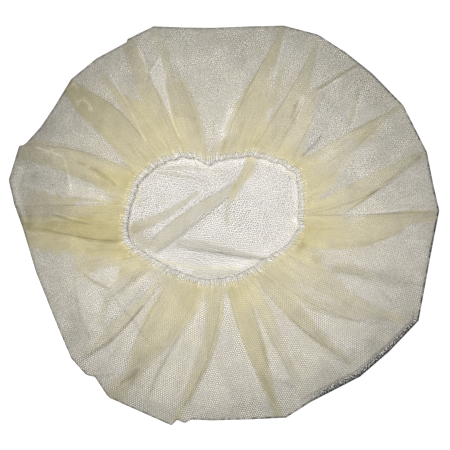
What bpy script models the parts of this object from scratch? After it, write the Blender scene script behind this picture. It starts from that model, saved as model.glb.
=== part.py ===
"""Bouffant cap of thin nonwoven cloth, lying with its opening up.

The cap is cut from one round cloth blank. The middle of the blank lies flat, the outer part is
turned over at the outer fold, and its edge is drawn in to a flat elastic round the opening.
Lengths are in metres. Turns are degrees round the opening, anticlockwise from +X.
"""

import math
from collections import namedtuple

import bmesh
import bpy

OBJECT_NAME = "bouffant_cap"

# The cloth
BLANK_DIAMETER = 0.533
WALL = 0.001

# The opening inside the relaxed elastic
OPENING_LENGTH = 0.139
OPENING_WIDTH = 0.098
ELASTIC_WIDTH = 0.0045
ELASTIC_THICKNESS = 0.001
CLEARANCE = 0.0003

# Heights of the outer skin over the surface that the cap lies on
FOLD_HEIGHT = 0.008
HEM_HEIGHT = 0.0145
PLEAT_LIFT = 0.0036
GATHER_LIFT = 0.0011

# Steps of the mesh, in degrees, at the outer fold and at the hem
FOLD_STEP = 4.4
HEM_STEP = 3.1
PLEAT_START_AT_FOLD = 1.4
PLEAT_FOOT_AT_FOLD = 0.7
PLEAT_FOOT_AT_HEM = 1.2
ELASTIC_STEPS = 96

# The outer fold seen from above: reach is a share of the lying radius, puff of the fold height
OutlineRow = namedtuple("OutlineRow", "turn reach puff")
OUTLINE = (
    OutlineRow(1.8, 1.101, 0.85),
    OutlineRow(9.0, 1.085, 1.10),
    OutlineRow(17.0, 1.088, 0.85),
    OutlineRow(30.5, 1.072, 0.90),
    OutlineRow(42.0, 1.042, 1.10),
    OutlineRow(60.0, 1.023, 0.90),
    OutlineRow(69.5, 0.990, 0.95),
    OutlineRow(80.0, 0.941, 1.20),
    OutlineRow(90.0, 0.924, 1.25),
    OutlineRow(98.0, 0.926, 1.15),
    OutlineRow(107.0, 0.965, 0.90),
    OutlineRow(114.5, 0.960, 0.95),
    OutlineRow(117.0, 0.949, 1.05),
    OutlineRow(126.0, 0.957, 1.00),
    OutlineRow(135.5, 0.960, 0.90),
    OutlineRow(145.0, 0.938, 1.10),
    OutlineRow(152.0, 0.941, 1.05),
    OutlineRow(158.6, 0.971, 0.95),
    OutlineRow(159.6, 0.994, 0.90),
    OutlineRow(171.0, 0.997, 0.85),
    OutlineRow(176.0, 0.962, 0.95),
    OutlineRow(183.0, 0.919, 1.05),
    OutlineRow(197.0, 0.896, 1.25),
    OutlineRow(207.0, 0.894, 1.25),
    OutlineRow(217.0, 0.917, 1.10),
    OutlineRow(225.0, 0.963, 0.95),
    OutlineRow(231.4, 0.975, 0.90),
    OutlineRow(233.6, 0.954, 0.95),
    OutlineRow(240.0, 1.000, 0.90),
    OutlineRow(259.0, 1.017, 0.90),
    OutlineRow(260.6, 0.993, 0.95),
    OutlineRow(270.0, 0.980, 1.10),
    OutlineRow(281.0, 0.990, 1.05),
    OutlineRow(290.4, 1.027, 0.85),
    OutlineRow(298.0, 1.013, 1.10),
    OutlineRow(313.0, 1.046, 1.00),
    OutlineRow(333.5, 1.112, 0.80),
    OutlineRow(342.0, 1.076, 1.00),
    OutlineRow(350.0, 1.068, 1.10),
)

# The opening's edge: reach is a share of an oval of the opening's length and width, rise a share
# of the hem height
OpeningRow = namedtuple("OpeningRow", "turn reach rise")
OPENING = (
    OpeningRow(6.0, 1.010, 0.97),
    OpeningRow(14.0, 1.070, 0.94),
    OpeningRow(22.0, 1.140, 0.96),
    OpeningRow(30.0, 1.203, 1.02),
    OpeningRow(40.0, 1.150, 1.06),
    OpeningRow(52.0, 1.128, 1.00),
    OpeningRow(62.0, 1.080, 0.96),
    OpeningRow(78.0, 0.960, 1.02),
    OpeningRow(91.0, 0.905, 0.90),
    OpeningRow(103.0, 0.955, 1.00),
    OpeningRow(113.0, 1.036, 1.06),
    OpeningRow(124.0, 1.056, 1.02),
    OpeningRow(140.0, 1.060, 0.98),
    OpeningRow(157.0, 1.030, 1.05),
    OpeningRow(174.0, 0.970, 1.08),
    OpeningRow(185.0, 0.995, 1.14),
    OpeningRow(193.0, 1.024, 1.10),
    OpeningRow(203.0, 0.988, 1.02),
    OpeningRow(217.0, 0.952, 0.94),
    OpeningRow(238.0, 0.961, 0.98),
    OpeningRow(256.0, 1.005, 0.94),
    OpeningRow(280.0, 1.000, 0.90),
    OpeningRow(296.0, 0.970, 0.98),
    OpeningRow(314.0, 0.930, 0.92),
    OpeningRow(330.0, 0.920, 0.95),
    OpeningRow(344.0, 0.990, 1.04),
)

# The pleats: each starts from one turn at the outer fold and spans from one turn to another at
# the hem. Its folded edge is on the "last" or the "first" side, start is the share of the way
# in to the hem where it rises, and lift is a share of the pleat lift.
PleatRow = namedtuple("PleatRow", "fold hem_first hem_last edge start lift")
PLEATS = (
    PleatRow(17.0, 4.4, 13.5, "first", 0.00, 1.00),
    PleatRow(30.5, 18.0, 29.5, "last", 0.00, 0.90),
    PleatRow(46.5, 37.0, 44.0, "last", 0.05, 0.60),
    PleatRow(59.5, 48.0, 58.5, "first", 0.00, 0.85),
    PleatRow(69.5, 61.0, 80.0, "last", 0.00, 1.10),
    PleatRow(107.0, 98.0, 109.2, "last", 0.30, 1.00),
    PleatRow(115.0, 114.2, 121.5, "first", 0.05, 0.60),
    PleatRow(127.0, 124.0, 130.6, "last", 0.10, 0.55),
    PleatRow(136.5, 135.0, 145.0, "first", 0.00, 0.90),
    PleatRow(159.6, 150.5, 163.0, "first", 0.00, 0.90),
    PleatRow(175.5, 171.0, 180.5, "first", 0.10, 0.75),
    PleatRow(183.0, 182.5, 197.0, "last", 0.00, 1.25),
    PleatRow(225.5, 224.0, 231.0, "first", 0.10, 0.50),
    PleatRow(241.0, 237.0, 255.0, "first", 0.00, 0.90),
    PleatRow(260.2, 268.0, 277.5, "last", 0.00, 0.85),
    PleatRow(289.5, 282.0, 295.0, "first", 0.00, 0.90),
    PleatRow(312.5, 303.0, 312.5, "last", 0.05, 0.75),
    PleatRow(333.5, 318.0, 328.0, "first", 0.00, 0.85),
    PleatRow(361.8, 343.0, 360.4, "last", 0.00, 1.10),
)

# The skirt from the fold in to the hem: way is a share of that way, height of the rise from the
# fold to the hem, pleat and gather shares of their lifts
SkirtRow = namedtuple("SkirtRow", "way height pleat gather")
SKIRT = (
    SkirtRow(0.10, 0.20, 0.35, 0.0),
    SkirtRow(0.22, 0.42, 0.65, 0.0),
    SkirtRow(0.36, 0.64, 0.90, 0.0),
    SkirtRow(0.50, 0.82, 1.00, 0.1),
    SkirtRow(0.63, 0.95, 1.00, 0.3),
    SkirtRow(0.74, 1.04, 0.95, 0.6),
    SkirtRow(0.83, 1.10, 0.85, 0.9),
    SkirtRow(0.90, 1.12, 0.70, 1.0),
    SkirtRow(0.96, 1.06, 0.45, 0.8),
    SkirtRow(1.00, 1.00, 0.25, 0.5),
)

# The outer fold is a half round from the flat bottom, at -90 degrees, to its top, at 90
FOLD_ANGLES = (-90.0, -45.0, 0.0, 45.0, 90.0)
BOTTOM_SHARES = (0.35, 0.70)
PLEAT_RISE = 0.30
FOOT_SINK = 0.1

CLOTH_COLOUR = (0.80, 0.77, 0.58, 1.0)
ELASTIC_COLOUR = (0.86, 0.85, 0.80, 1.0)

Column = namedtuple("Column", "fold hem lift start")


def polar(turn, radius, height):
    angle = math.radians(turn)
    return (radius * math.cos(angle), radius * math.sin(angle), height)


def neighbours(rows, turn):
    """The four rows round this turn, each with its turn counted on without a jump."""
    turn = rows[0].turn + (turn - rows[0].turn) % 360.0
    last = sum(row.turn <= turn for row in rows) - 1
    found = []
    for index in range(last - 1, last + 3):
        laps, place = divmod(index, len(rows))
        found.append((rows[place].turn + 360.0 * laps, rows[place]))
    return turn, found


def straight_value(rows, turn, column):
    turn, found = neighbours(rows, turn)
    (before, low), (after, high) = found[1:3]
    share = (turn - before) / (after - before)
    return getattr(low, column) * (1.0 - share) + getattr(high, column) * share


def chord_reach(rows, turn):
    """Reach where the straight line between two rows' points crosses this turn."""
    turn, found = neighbours(rows, turn)
    (before, low), (after, high) = found[1:3]
    whole = math.sin(math.radians(after - before))
    first = math.sin(math.radians(turn - before))
    second = math.sin(math.radians(after - turn))
    return low.reach * high.reach * whole / (low.reach * first + high.reach * second)


def round_value(rows, turn, column):
    """The column's value on a smooth curve through the rows."""
    turn, found = neighbours(rows, turn)
    turns = [place for place, _ in found]
    values = [getattr(row, column) for _, row in found]
    span = turns[2] - turns[1]
    share = (turn - turns[1]) / span
    slope_in = (values[2] - values[0]) / (turns[2] - turns[0]) * span
    slope_out = (values[3] - values[1]) / (turns[3] - turns[1]) * span
    rest = 1.0 - share
    return (
        values[1] * (1.0 + 2.0 * share) * rest**2
        + values[2] * (3.0 - 2.0 * share) * share**2
        + slope_in * share * rest**2
        - slope_out * rest * share**2
    )


def opening_radius(turn):
    angle = math.radians(turn)
    across = OPENING_WIDTH * math.cos(angle)
    along = OPENING_LENGTH * math.sin(angle)
    oval = 0.5 * OPENING_LENGTH * OPENING_WIDTH / math.hypot(across, along)
    return oval * round_value(OPENING, turn, "reach")


def hem_radius(turn):
    return opening_radius(turn) + ELASTIC_WIDTH + CLEARANCE


def hem_height(turn):
    return HEM_HEIGHT * round_value(OPENING, turn, "rise")


def lying_radius():
    """The outer fold's mean radius, where the blank's edge reaches back as far as the hem."""
    mean_hem = sum(hem_radius(turn) for turn in range(360)) / 360.0
    return 0.5 * (0.5 * BLANK_DIAMETER + mean_hem)


def pleat_keys(pleat):
    """The pleat's hidden side, its raised edge and the foot that the edge drops to."""
    if pleat.edge == "last":
        towards, hidden, crest = 1.0, pleat.hem_first, pleat.hem_last
    else:
        towards, hidden, crest = -1.0, pleat.hem_last, pleat.hem_first
    hidden_at_fold = pleat.fold - PLEAT_START_AT_FOLD * towards
    foot_at_fold = pleat.fold + PLEAT_FOOT_AT_FOLD * towards
    foot = crest + PLEAT_FOOT_AT_HEM * towards
    keys = [
        Column(hidden_at_fold, hidden, 0.0, pleat.start),
        Column(pleat.fold, crest, pleat.lift, pleat.start),
        Column(foot_at_fold, foot, -FOOT_SINK, pleat.start),
    ]
    return sorted(keys)


def columns():
    """Lines from the outer fold to the hem, one on each side of every pleat and more between."""
    keys = [key for pleat in PLEATS for key in pleat_keys(pleat)]
    first = keys[0]
    keys.append(first._replace(fold=first.fold + 360.0, hem=first.hem + 360.0))
    gaps = list(zip(keys, keys[1:]))
    steps = [
        math.ceil(max((other.fold - one.fold) / FOLD_STEP, (other.hem - one.hem) / HEM_STEP))
        for one, other in gaps
    ]
    # The gathers rise on every other column, so there is an even number of them
    steps[-1] += sum(steps) % 2
    found = []
    for (one, other), count in zip(gaps, steps):
        for step in range(count):
            share = step / count
            found.append(Column(*(a * (1.0 - share) + b * share for a, b in zip(one, other))))
    return found


def cloth_points(column, gather_sign, mean_radius):
    """The outer skin's points down one column, from the bottom out to the fold and in to the hem."""
    reach = mean_radius * chord_reach(OUTLINE, column.fold)
    fold_height = FOLD_HEIGHT * straight_value(OUTLINE, column.fold, "puff")
    fold_centre = reach - 0.5 * fold_height
    points = [polar(column.fold, fold_centre * share, 0.0) for share in BOTTOM_SHARES]
    for tilt in FOLD_ANGLES:
        out = 0.5 * fold_height * math.cos(math.radians(tilt))
        up = 0.5 * fold_height * (1.0 + math.sin(math.radians(tilt)))
        points.append(polar(column.fold, fold_centre + out, up))
    hem = hem_radius(column.hem)
    skirt_rise = hem_height(column.hem) - fold_height
    for row in SKIRT:
        turn = column.fold + (column.hem - column.fold) * row.way
        radius = fold_centre + (hem - fold_centre) * row.way
        rise = min(max((row.way - column.start) / PLEAT_RISE, 0.0), 1.0)
        height = fold_height + skirt_rise * row.height
        height += PLEAT_LIFT * row.pleat * column.lift * rise
        height += GATHER_LIFT * row.gather * gather_sign
        points.append(polar(turn, radius, height))
    return points


def add_object(name, collection, mesh_data, colour, roughness, centre):
    mesh = bpy.data.meshes.new(name)
    mesh_data.to_mesh(mesh)
    mesh_data.free()
    material = bpy.data.materials.new(name)
    material.use_nodes = True
    shader = material.node_tree.nodes["Principled BSDF"]
    shader.inputs["Base Color"].default_value = colour
    shader.inputs["Roughness"].default_value = roughness
    shader.inputs["Metallic"].default_value = 0.0
    mesh.materials.append(material)
    mesh.shade_smooth()
    mesh.set_sharp_from_angle(angle=math.radians(50.0))
    obj = bpy.data.objects.new(name, mesh)
    obj.location = (-centre[0], -centre[1], 0.0)
    collection.objects.link(obj)
    return obj


def add_wall(obj, thickness):
    """Solid wall that grows inwards from the outer skin."""
    wall = obj.modifiers.new("wall", "SOLIDIFY")
    wall.thickness = thickness
    wall.offset = -1.0
    wall.use_rim = True


def join_rings(mesh_data, rings):
    """Faces between neighbouring columns of points, each column as long as the next."""
    for ring, following in zip(rings, rings[1:] + rings[:1]):
        for step in range(len(ring) - 1):
            corners = (ring[step], ring[step + 1], following[step + 1], following[step])
            mesh_data.faces.new(corners)


def build_cloth(collection, points, centre):
    mesh_data = bmesh.new()
    middle = mesh_data.verts.new((0.0, 0.0, 0.0))
    rings = [[mesh_data.verts.new(point) for point in column] for column in points]
    for ring, following in zip(rings, rings[1:] + rings[:1]):
        mesh_data.faces.new((middle, ring[0], following[0]))
    join_rings(mesh_data, rings)
    bmesh.ops.recalc_face_normals(mesh_data, faces=mesh_data.faces)
    cloth = add_object("cap_cloth", collection, mesh_data, CLOTH_COLOUR, 0.9, centre)
    add_wall(cloth, WALL)


def build_elastic(collection, centre):
    """Flat ring whose outer side lies along the hem, level with the middle of the cloth's edge."""
    mesh_data = bmesh.new()
    over_hem = 0.5 * (ELASTIC_THICKNESS - WALL)
    rings = []
    for step in range(ELASTIC_STEPS):
        turn = 360.0 * step / ELASTIC_STEPS
        inner = opening_radius(turn)
        top = hem_height(turn) + over_hem
        places = (polar(turn, inner + ELASTIC_WIDTH, top), polar(turn, inner, top))
        rings.append([mesh_data.verts.new(place) for place in places])
    join_rings(mesh_data, rings)
    elastic = add_object(
        "elastic_band", collection, mesh_data, ELASTIC_COLOUR, 0.8, centre
    )
    add_wall(elastic, ELASTIC_THICKNESS)


def clear_scene():
    for obj in list(bpy.data.objects):
        bpy.data.objects.remove(obj, do_unlink=True)


def main():
    clear_scene()
    collection = bpy.data.collections.new(OBJECT_NAME)
    bpy.context.scene.collection.children.link(collection)
    mean_radius = lying_radius()
    lines = columns()
    points = [
        cloth_points(column, 1.0 if index % 2 else -1.0, mean_radius)
        for index, column in enumerate(lines)
    ]
    across = [point[0] for column in points for point in column]
    along = [point[1] for column in points for point in column]
    centre = (0.5 * (min(across) + max(across)), 0.5 * (min(along) + max(along)))
    build_cloth(collection, points, centre)
    build_elastic(collection, centre)


main()
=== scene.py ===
"""The finished look of a bouffant cap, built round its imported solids.

The cap is one round blank of thin nonwoven cloth. Its middle lies flat as the crown, the outer
part is turned over at the outer fold as the skirt, and the skirt's edge is gathered to a flat
elastic round the opening. Lengths are in metres unless a name says millimetres. Turns are degrees
round the opening's middle, anticlockwise from +X, and way is the share of the way from the outer
fold in to the hem.
"""

import math
from collections import namedtuple
from functools import reduce

import bpy
import numpy as np
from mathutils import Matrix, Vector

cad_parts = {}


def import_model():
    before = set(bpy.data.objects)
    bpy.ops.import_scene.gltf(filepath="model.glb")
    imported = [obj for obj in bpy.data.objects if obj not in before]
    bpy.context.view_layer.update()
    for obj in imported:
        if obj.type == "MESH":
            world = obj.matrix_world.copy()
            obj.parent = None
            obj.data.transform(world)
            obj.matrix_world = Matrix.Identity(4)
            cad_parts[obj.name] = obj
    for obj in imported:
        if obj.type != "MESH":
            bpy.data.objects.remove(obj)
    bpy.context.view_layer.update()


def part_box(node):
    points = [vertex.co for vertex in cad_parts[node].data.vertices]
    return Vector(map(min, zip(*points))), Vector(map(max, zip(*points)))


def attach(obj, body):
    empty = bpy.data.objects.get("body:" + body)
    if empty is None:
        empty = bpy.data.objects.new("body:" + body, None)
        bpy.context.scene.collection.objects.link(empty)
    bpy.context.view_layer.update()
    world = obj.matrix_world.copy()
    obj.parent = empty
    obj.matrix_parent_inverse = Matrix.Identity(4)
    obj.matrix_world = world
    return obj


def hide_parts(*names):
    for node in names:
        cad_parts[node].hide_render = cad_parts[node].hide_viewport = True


MM = 0.001

# The cloth, the opening inside the relaxed elastic, and the heights, as in the solids' source
BLANK_DIAMETER = 0.533
OPENING_LENGTH = 0.139
OPENING_WIDTH = 0.098
ELASTIC_WIDTH = 0.0045
ELASTIC_THICKNESS = 0.0007
CLEARANCE = 0.0003
FOLD_HEIGHT = 0.008
HEM_HEIGHT = 0.0145

# Pleats: height of a crest over the cloth below it, and how its layers part
CREST_HEIGHT = 0.0016
HIDDEN_HEIGHT = 0.35
LOOP_RADIUS = 0.0004
PLEAT_RISE = 0.30
PLEAT_GROWTH = 0.10
SPREAD_AT_FOLD = 2.2
SPREAD_POWER = 16.0
HIDDEN_RAMP = 0.003
PANEL_PUFF = 0.0016
PUFF_WIDTH = 0.03

# Mesh steps: angles at the outer fold, lengths along the hem, rings. The crown's inner rings take
# every few lines only, by the radius up to which they do.
FOLD_STEP = 0.42
HEM_STEP = 0.0006
MIDDLE_STEPS = 6
BOTTOM_STEPS = 6
LOOP_STEPS = 4
SKIRT_RINGS = 62
HEM_RINGS = 6
HEM_START = 0.93
FOLD_ANGLES = np.linspace(-90.0, 90.0, 9)
CROWN_RINGS = 8
CROWN_DISC = 0.080
CROWN_STEP = 0.0014
CROWN_THINNING = ((0.016, 8), (0.040, 4))
ELASTIC_STEPS = 8

# The hem: crimps of the elastic, the cloth's wrinkles that fan out from them and its crumples
CRIMP_PITCH = 0.0018
CRIMP_HEIGHT = 0.00045
CRIMP_STEPS = 10
GATHER_HEIGHT = 0.0009
WRINKLE_HEIGHT = 0.0011
CRUMPLE_HEIGHT = 0.00022
PANEL_WAVE_HEIGHT = 0.0006
BEAD_LENGTH = 0.0022
THREAD_RADIUS = 0.00014
ELASTIC_DEPTH = 0.0005
ELASTIC_SHIFT = 0.0002

# The elastic's section, out from the opening and back: shares of its width and half its thickness
ELASTIC_SECTION = (
    (0.0, 0.0), (0.06, 0.8), (0.3, 1.0), (0.5, 1.0), (0.7, 1.0), (0.94, 0.8), (1.0, 0.0),
    (0.94, -0.8), (0.5, -1.0), (0.06, -0.8),
)

# The crimped edge: how much its crimps differ in size and, in millimetres, how unevenly it and its
# white rim end; the rim's tone and the painted shade of the dark gaps in it; the beads of cloth
# beside the rim and the painted highlight on them; and the steps of its mesh and the stitches'
# distances from the opening's edge in millimetres
CRIMP_SIZES = (0.55, 1.25)
EDGE_REACH = 0.35
RIM_JITTER = 0.9
RIM_FADE = 0.8 * MM
RIM_TONE = 0.20
GAP_SHADE = 0.50
BEAD_HEIGHT = 0.4
BEAD_LIGHT = 0.34
BEAD_END = 8.5 * MM
BEAD_FADE = 3.0 * MM
EDGE_STEP = 0.45
STITCH_OUTS = (3.2, 2.8, 2.2, 1.4, 0.7, 0.2, -0.25, 0.2, 0.7, 1.4, 2.2, 2.8)

# What the crimped edge's tone and painted light and shade take from its ridges and the valleys
# between them, its puckers and its worn places, on the white rim and outside it: painted light on
# ridges and puckers, painted shade in the valleys; and where the rim's gaps of painted shade open
RIDGE_POWER = 0.8
RIDGE_MEAN = 0.5
RIM_RIDGE_TONE = 0.25
RIM_RIDGE_MEAN = 0.6
RIDGE_TONE = 0.10
PUCKER_TONE = 0.05
RIDGE_SHADE = 0.05
VALLEY_SHADE = 0.45
PUCKER_SHADE = 0.07
OUTSIDE_DIM = 0.05
RIM_LIGHT = 0.18
WORN_LIGHT = 0.10
GAP_RIDGE = 0.8
GAP_WORN = 0.25
GAP_FADE = 0.6

# The cloth's tones: how yellow a place is, by the layers that overlap there. Painted shades add to
# its light: painted shade near the outer fold and from OUTER_FROM out, painted light on the crests.
# At the hem its tone holds in a narrow ring, doubled patches that end within RUN_TO_HEM run on to
# the hem, and creases fade out at their two ends.
CROWN_TONE = 0.05
SKIRT_TONE = 0.27
FOLD_SHADE = -0.27
FOLD_SHADE_END = 0.85
CREST_SHADE = 0.24
DIM_SHADE = -0.16
OUTER_SHADE = -0.08
OUTER_FROM = 0.115
OUTER_OVER = 0.07
AT_HEM = 8.0 * MM
RUN_TO_HEM = 0.101
CREASE_EDGE = 0.5 * MM
CREASE_END = 4.0 * MM

# Streaks that run out from the hem: what they add to the tone and, as painted light and shade, to
# the shade, and how far out they do
STREAK_LEAN = 0.1
STREAK_EDGE = 0.0012
STREAK_TONE = 0.03
STREAK_SHADE = 0.02
STREAK_REACH = 0.06

# Stretches along the outer fold: the first turn and the turns over which a stretch comes in, the
# last turn and the turns over which it goes out. One gets painted shade; the other a strip painted
# dark and speckled, as single cloth in shade.
DIM_STRETCH = (95.0, 80.0, 190.0, 12.0)
STRIP_STRETCH = (293.0, 11.0, 337.0, 4.0)

# That strip: its width in ways in to the hem, its painted shade low on the fold and the painted
# light added higher up; then the painted dark border of shade beside it, and the painted lighter
# cloth that the border lies in
STRIP_WIDTH = 0.011
STRIP_FADE = 0.005
STRIP_SHADE = -0.78
STRIP_LIGHTER = 0.95
BORDER_RISE = 0.004
BORDER_END = 0.028
BORDER_FALL = 0.008
BORDER_SHADE = -0.8
BESIDE_SHADE = 0.2
BESIDE_END = 0.030
BESIDE_FADE = 0.010

# The painted dark line of shade along the outline, and the painted dark dashes on its right side:
# depths, and the turns they face, each with the cosine off it where they come in and the cosine's
# span over which they do
LINE_WIDTH = 1.7 * MM
LINE_FADE = 0.8 * MM
LINE_DARK = 0.75
LINE_DARKER = 0.55
LINE_FACING = (-20.0, 0.2, 0.4)
DASH_SHADE = 0.6
DASH_FACING = (-12.0, 0.9, 0.08)

# Painted light on the crown beside the opening's rim: wide and soft, which comes in from one turn on
# and also faces one, and a narrow line, strongest at the turn it faces; and where the skirt hides
# the crown
RIM_SHADE = 0.15
RIM_WIDTH = 0.014
RIM_LIT_FROM = 185.0
RIM_LIT_OVER = 50.0
RIM_FACING = (90.0, 0.55, 0.35)
RIM_LINE_SHADE = 0.16
RIM_LINE_WIDTH = 0.006
RIM_LINE_FACING = (8.0, 0.55, 0.3)
HIDDEN_FROM = 0.07
HIDDEN_OVER = 0.02

# Unevenness by name: its height in the unit of what it is added to, the length of its waves, its
# seed and how many waves it adds up
Wave = namedtuple("Wave", "height length seed count", defaults=(12,))
HEM_WOBBLE = Wave(0.0005, 0.013, 49)
PATCH_RAGGED = Wave(0.16, 0.008, 51)
TONE_BROAD = Wave(0.018, 0.028, 22)
TONE_FINE = Wave(0.016, 0.010, 24)
SHADE_UNEVEN = Wave(0.01, 0.016, 25)
HEM_STREAKS = Wave(1.0, 0.006, 21, 20)
HEM_RAGGED = Wave(0.0025, 0.016, 23)
GATHER_START = Wave(0.04, 0.018, 5)
PUCKER_DRIFT = Wave(0.8, 0.006, 6)
WRINKLE_NARROW = Wave(0.35, 0.0050, 7, 20)
WRINKLE_BROAD = Wave(1.0, 0.0110, 8, 20)
CRUMPLE_BROAD = Wave(1.0, 0.034, 11)
CRUMPLE_NARROW = Wave(0.6, 0.017, 12)
CRUMPLE_FINE = Wave(0.00006, 0.006, 13)
LINE_UNEVEN = Wave(0.5, 0.006, 52)
LINE_DASHES = Wave(3.0, 0.005, 53)
CROWN_BROAD = Wave(0.00025, 0.024, 31)
CROWN_FINE = Wave(0.5, 0.009, 32)
CROWN_TONES = Wave(0.03, 0.02, 33)
CRIMP_LEANING = Wave(0.16, 0.005, 47, 20)
CRIMP_TWIST = Wave(0.10, 0.004, 48, 20)
PUCKER_BROAD = Wave(0.5, 0.0045, 42, 20)
PUCKER_NARROW = Wave(0.3, 0.0026, 43, 20)
RIM_WORN = Wave(1.0, 0.0034, 53, 20)
LIP_UNEVEN = Wave(0.6, 0.006, 50, 20)
EDGE_LENGTHS = Wave(0.16, 0.004, 46, 20)

# Radii of the circles along which the waves of the opening's edge and of the outline are taken
OPENING_MEAN = 0.065
OUTLINE_MEAN = 0.17


def rows_of(kind, *rows):
    """A table: rows of numbers with a name for each column."""
    return tuple(kind(*row) for row in rows)


# The outer fold seen from above: reach is a share of the lying radius, puff of the fold height
OutlineRow = namedtuple("OutlineRow", "turn reach puff")
OUTLINE = rows_of(
    OutlineRow,
    (1.8, 1.108, 0.85), (9, 1.089, 1.1), (17, 1.095, 0.85), (30.5, 1.081, 0.9),
    (42, 1.05, 1.1), (51, 1.036, 1), (60, 1.031, 0.9), (69.5, 0.999, 0.95),
    (80, 0.945, 1.2), (90, 0.924, 1.25), (98, 0.935, 1.15), (107, 0.975, 0.9),
    (115.3, 0.962, 0.95), (116, 0.95, 1.05), (126, 0.958, 1), (135.5, 0.962, 0.9),
    (145, 0.938, 1.1), (152, 0.943, 1.05), (158.6, 0.978, 0.95), (159.6, 1.002, 0.9),
    (169.5, 1.007, 0.85), (176, 0.966, 0.95), (183, 0.923, 1.05), (197, 0.896, 1.25),
    (207, 0.897, 1.25), (217, 0.926, 1.1), (225, 0.969, 0.95), (231.4, 0.981, 0.9),
    (233.6, 0.962, 0.95), (240, 1.01, 0.9), (259, 1.031, 0.9), (260.2, 0.999, 0.95),
    (262.4, 1.01, 0.9), (264.2, 0.988, 1), (270, 0.987, 1.1), (281, 1, 1.05),
    (290.4, 1.039, 0.85), (298, 1.018, 1.1), (313, 1.058, 1), (323, 1.082, 0.95),
    (333.5, 1.125, 0.8), (342, 1.09, 1), (350, 1.08, 1.1),
)

# The opening's edge: reach is a share of an oval of the opening's length and width, rise a share
# of the hem height
OpeningRow = namedtuple("OpeningRow", "turn reach rise")
OPENING = rows_of(
    OpeningRow,
    (6, 1.01, 0.97), (14, 1.07, 0.94), (22, 1.14, 0.96), (30, 1.203, 1.02),
    (40, 1.15, 1.06), (52, 1.128, 1), (62, 1.08, 0.96), (74, 0.995, 1.02),
    (82, 0.946, 0.96), (88, 0.9, 0.9), (92.5, 0.872, 0.88), (97, 0.888, 0.92),
    (103, 0.95, 1), (113, 1.036, 1.06), (124, 1.056, 1.02), (140, 1.06, 0.98),
    (157, 1.002, 1.05), (166, 0.962, 1.07), (174, 0.948, 1.08), (185, 0.986, 1.14),
    (193, 1.024, 1.1), (203, 0.988, 1.02), (217, 0.952, 0.94), (238, 0.961, 0.98),
    (256, 1.005, 0.94), (280, 1, 0.9), (296, 0.97, 0.98), (314, 0.93, 0.92),
    (330, 0.92, 0.95), (344, 0.99, 1.04),
)

# The pleats, as in the solids' source, with their sides' turns half-way in as well
PleatRow = namedtuple("PleatRow", "fold mid_first mid_last hem_first hem_last edge start lift")
PLEATS = rows_of(
    PleatRow,
    (17, 8.3, 14.8, 2.2, 8.5, "first", 0, 1),
    (30.5, 25.5, 31.5, 16, 32.5, "last", 0, 0.9),
    (46.5, 46, 51, 35, 44, "first", 0.3, 0.6),
    (59.5, 52.3, 58.1, 46, 58.5, "last", 0, 0.85),
    (69.5, 65.8, 74, 61, 81, "last", 0, 1.1),
    (107, 101.5, 109.6, 96, 112.2, "last", 0.1, 1),
    (114, 113.9, 119.3, 113, 120.5, "first", 0.05, 0.6),
    (126.2, 124.8, 127.4, 123.5, 131.5, "last", 0.1, 0.55),
    (137, 131, 142.6, 133.5, 146, "first", 0, 0.9),
    (159.6, 153.2, 163, 150.2, 165.5, "first", 0, 0.9),
    (176, 175.2, 178.5, 171.4, 179.5, "first", 0.1, 0.75),
    (182, 181.8, 187.3, 182.5, 194.5, "last", 0, 1.25),
    (226.4, 226, 231.4, 224, 232, "last", 0.05, 0.5),
    (241, 238.3, 250.8, 236, 260, "first", 0, 0.9),
    (260.2, 263.2, 268.8, 266.4, 277.5, "last", 0, 0.85),
    (288.8, 285, 292.3, 282.3, 294.2, "first", 0, 0.9),
    (312.5, 309, 313.9, 304.5, 313.8, "first", 0.05, 0.75),
    (332, 321.3, 327.6, 315, 327.8, "first", 0, 0.85),
    (361.8, 350.2, 361, 343, 361.2, "last", 0, 1.1),
)

# The skirt from the fold in to the hem: height of the rise from the fold to the hem, pleat, puff,
# wrinkle and gather shares of their own heights
SkirtRow = namedtuple("SkirtRow", "way height pleat puff wrinkle gather")
SKIRT = rows_of(
    SkirtRow,
    (0, 0, 0.12, 0, 0, 0), (0.1, 0.2, 0.35, 0.4, 0, 0),
    (0.22, 0.42, 0.65, 0.8, 0, 0), (0.36, 0.64, 0.9, 1, 0, 0),
    (0.5, 0.82, 1, 0.9, 0.15, 0), (0.63, 0.95, 1, 0.6, 0.5, 0),
    (0.74, 1.04, 0.95, 0.3, 0.9, 0.05), (0.83, 1.1, 0.85, 0.1, 1, 0.35),
    (0.9, 1.12, 0.7, 0, 0.75, 0.8), (0.96, 1.06, 0.45, 0, 0.35, 1),
    (1, 1, 0.25, 0, 0.1, 0.7),
)

# The crimped edge of the cloth on the elastic, from the opening outwards. Out is the distance from
# the opening's edge and up the height over the hem's, in millimetres; crimp and pucker are the
# heights there, in millimetres, of the even crimps and of the wider puckers. Tone is a share of
# the hem's.
EdgeRow = namedtuple("EdgeRow", "out up crimp pucker tone")
CRIMPED_EDGE = rows_of(
    EdgeRow,
    (-0.8, -1.2, 0.2, 0, 0.35), (0, -0.2, 0.5, 0, 0.3), (0.3, 0.2, 0.7, 0, 0.28),
    (1, 0.4, 0.8, 0, 0.26), (1.8, 0.5, 0.8, 0.1, 0.3), (2.6, 0.5, 0.8, 0.2, 0.5),
    (3.4, 0.4, 0.8, 0.3, 0.8), (4.4, 0.3, 0.8, 0.4, 1), (5.4, 0.4, 0.7, 0.4, 1),
    (6.4, 0.5, 0.5, 0.5, 1), (7.6, 0.6, 0.3, 0.5, 1), (9, 0.5, 0.2, 0.5, 1),
    (10.5, 0.1, 0.1, 0.4, 1), (12, -1, 0, 0.3, 1),
)
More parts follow.
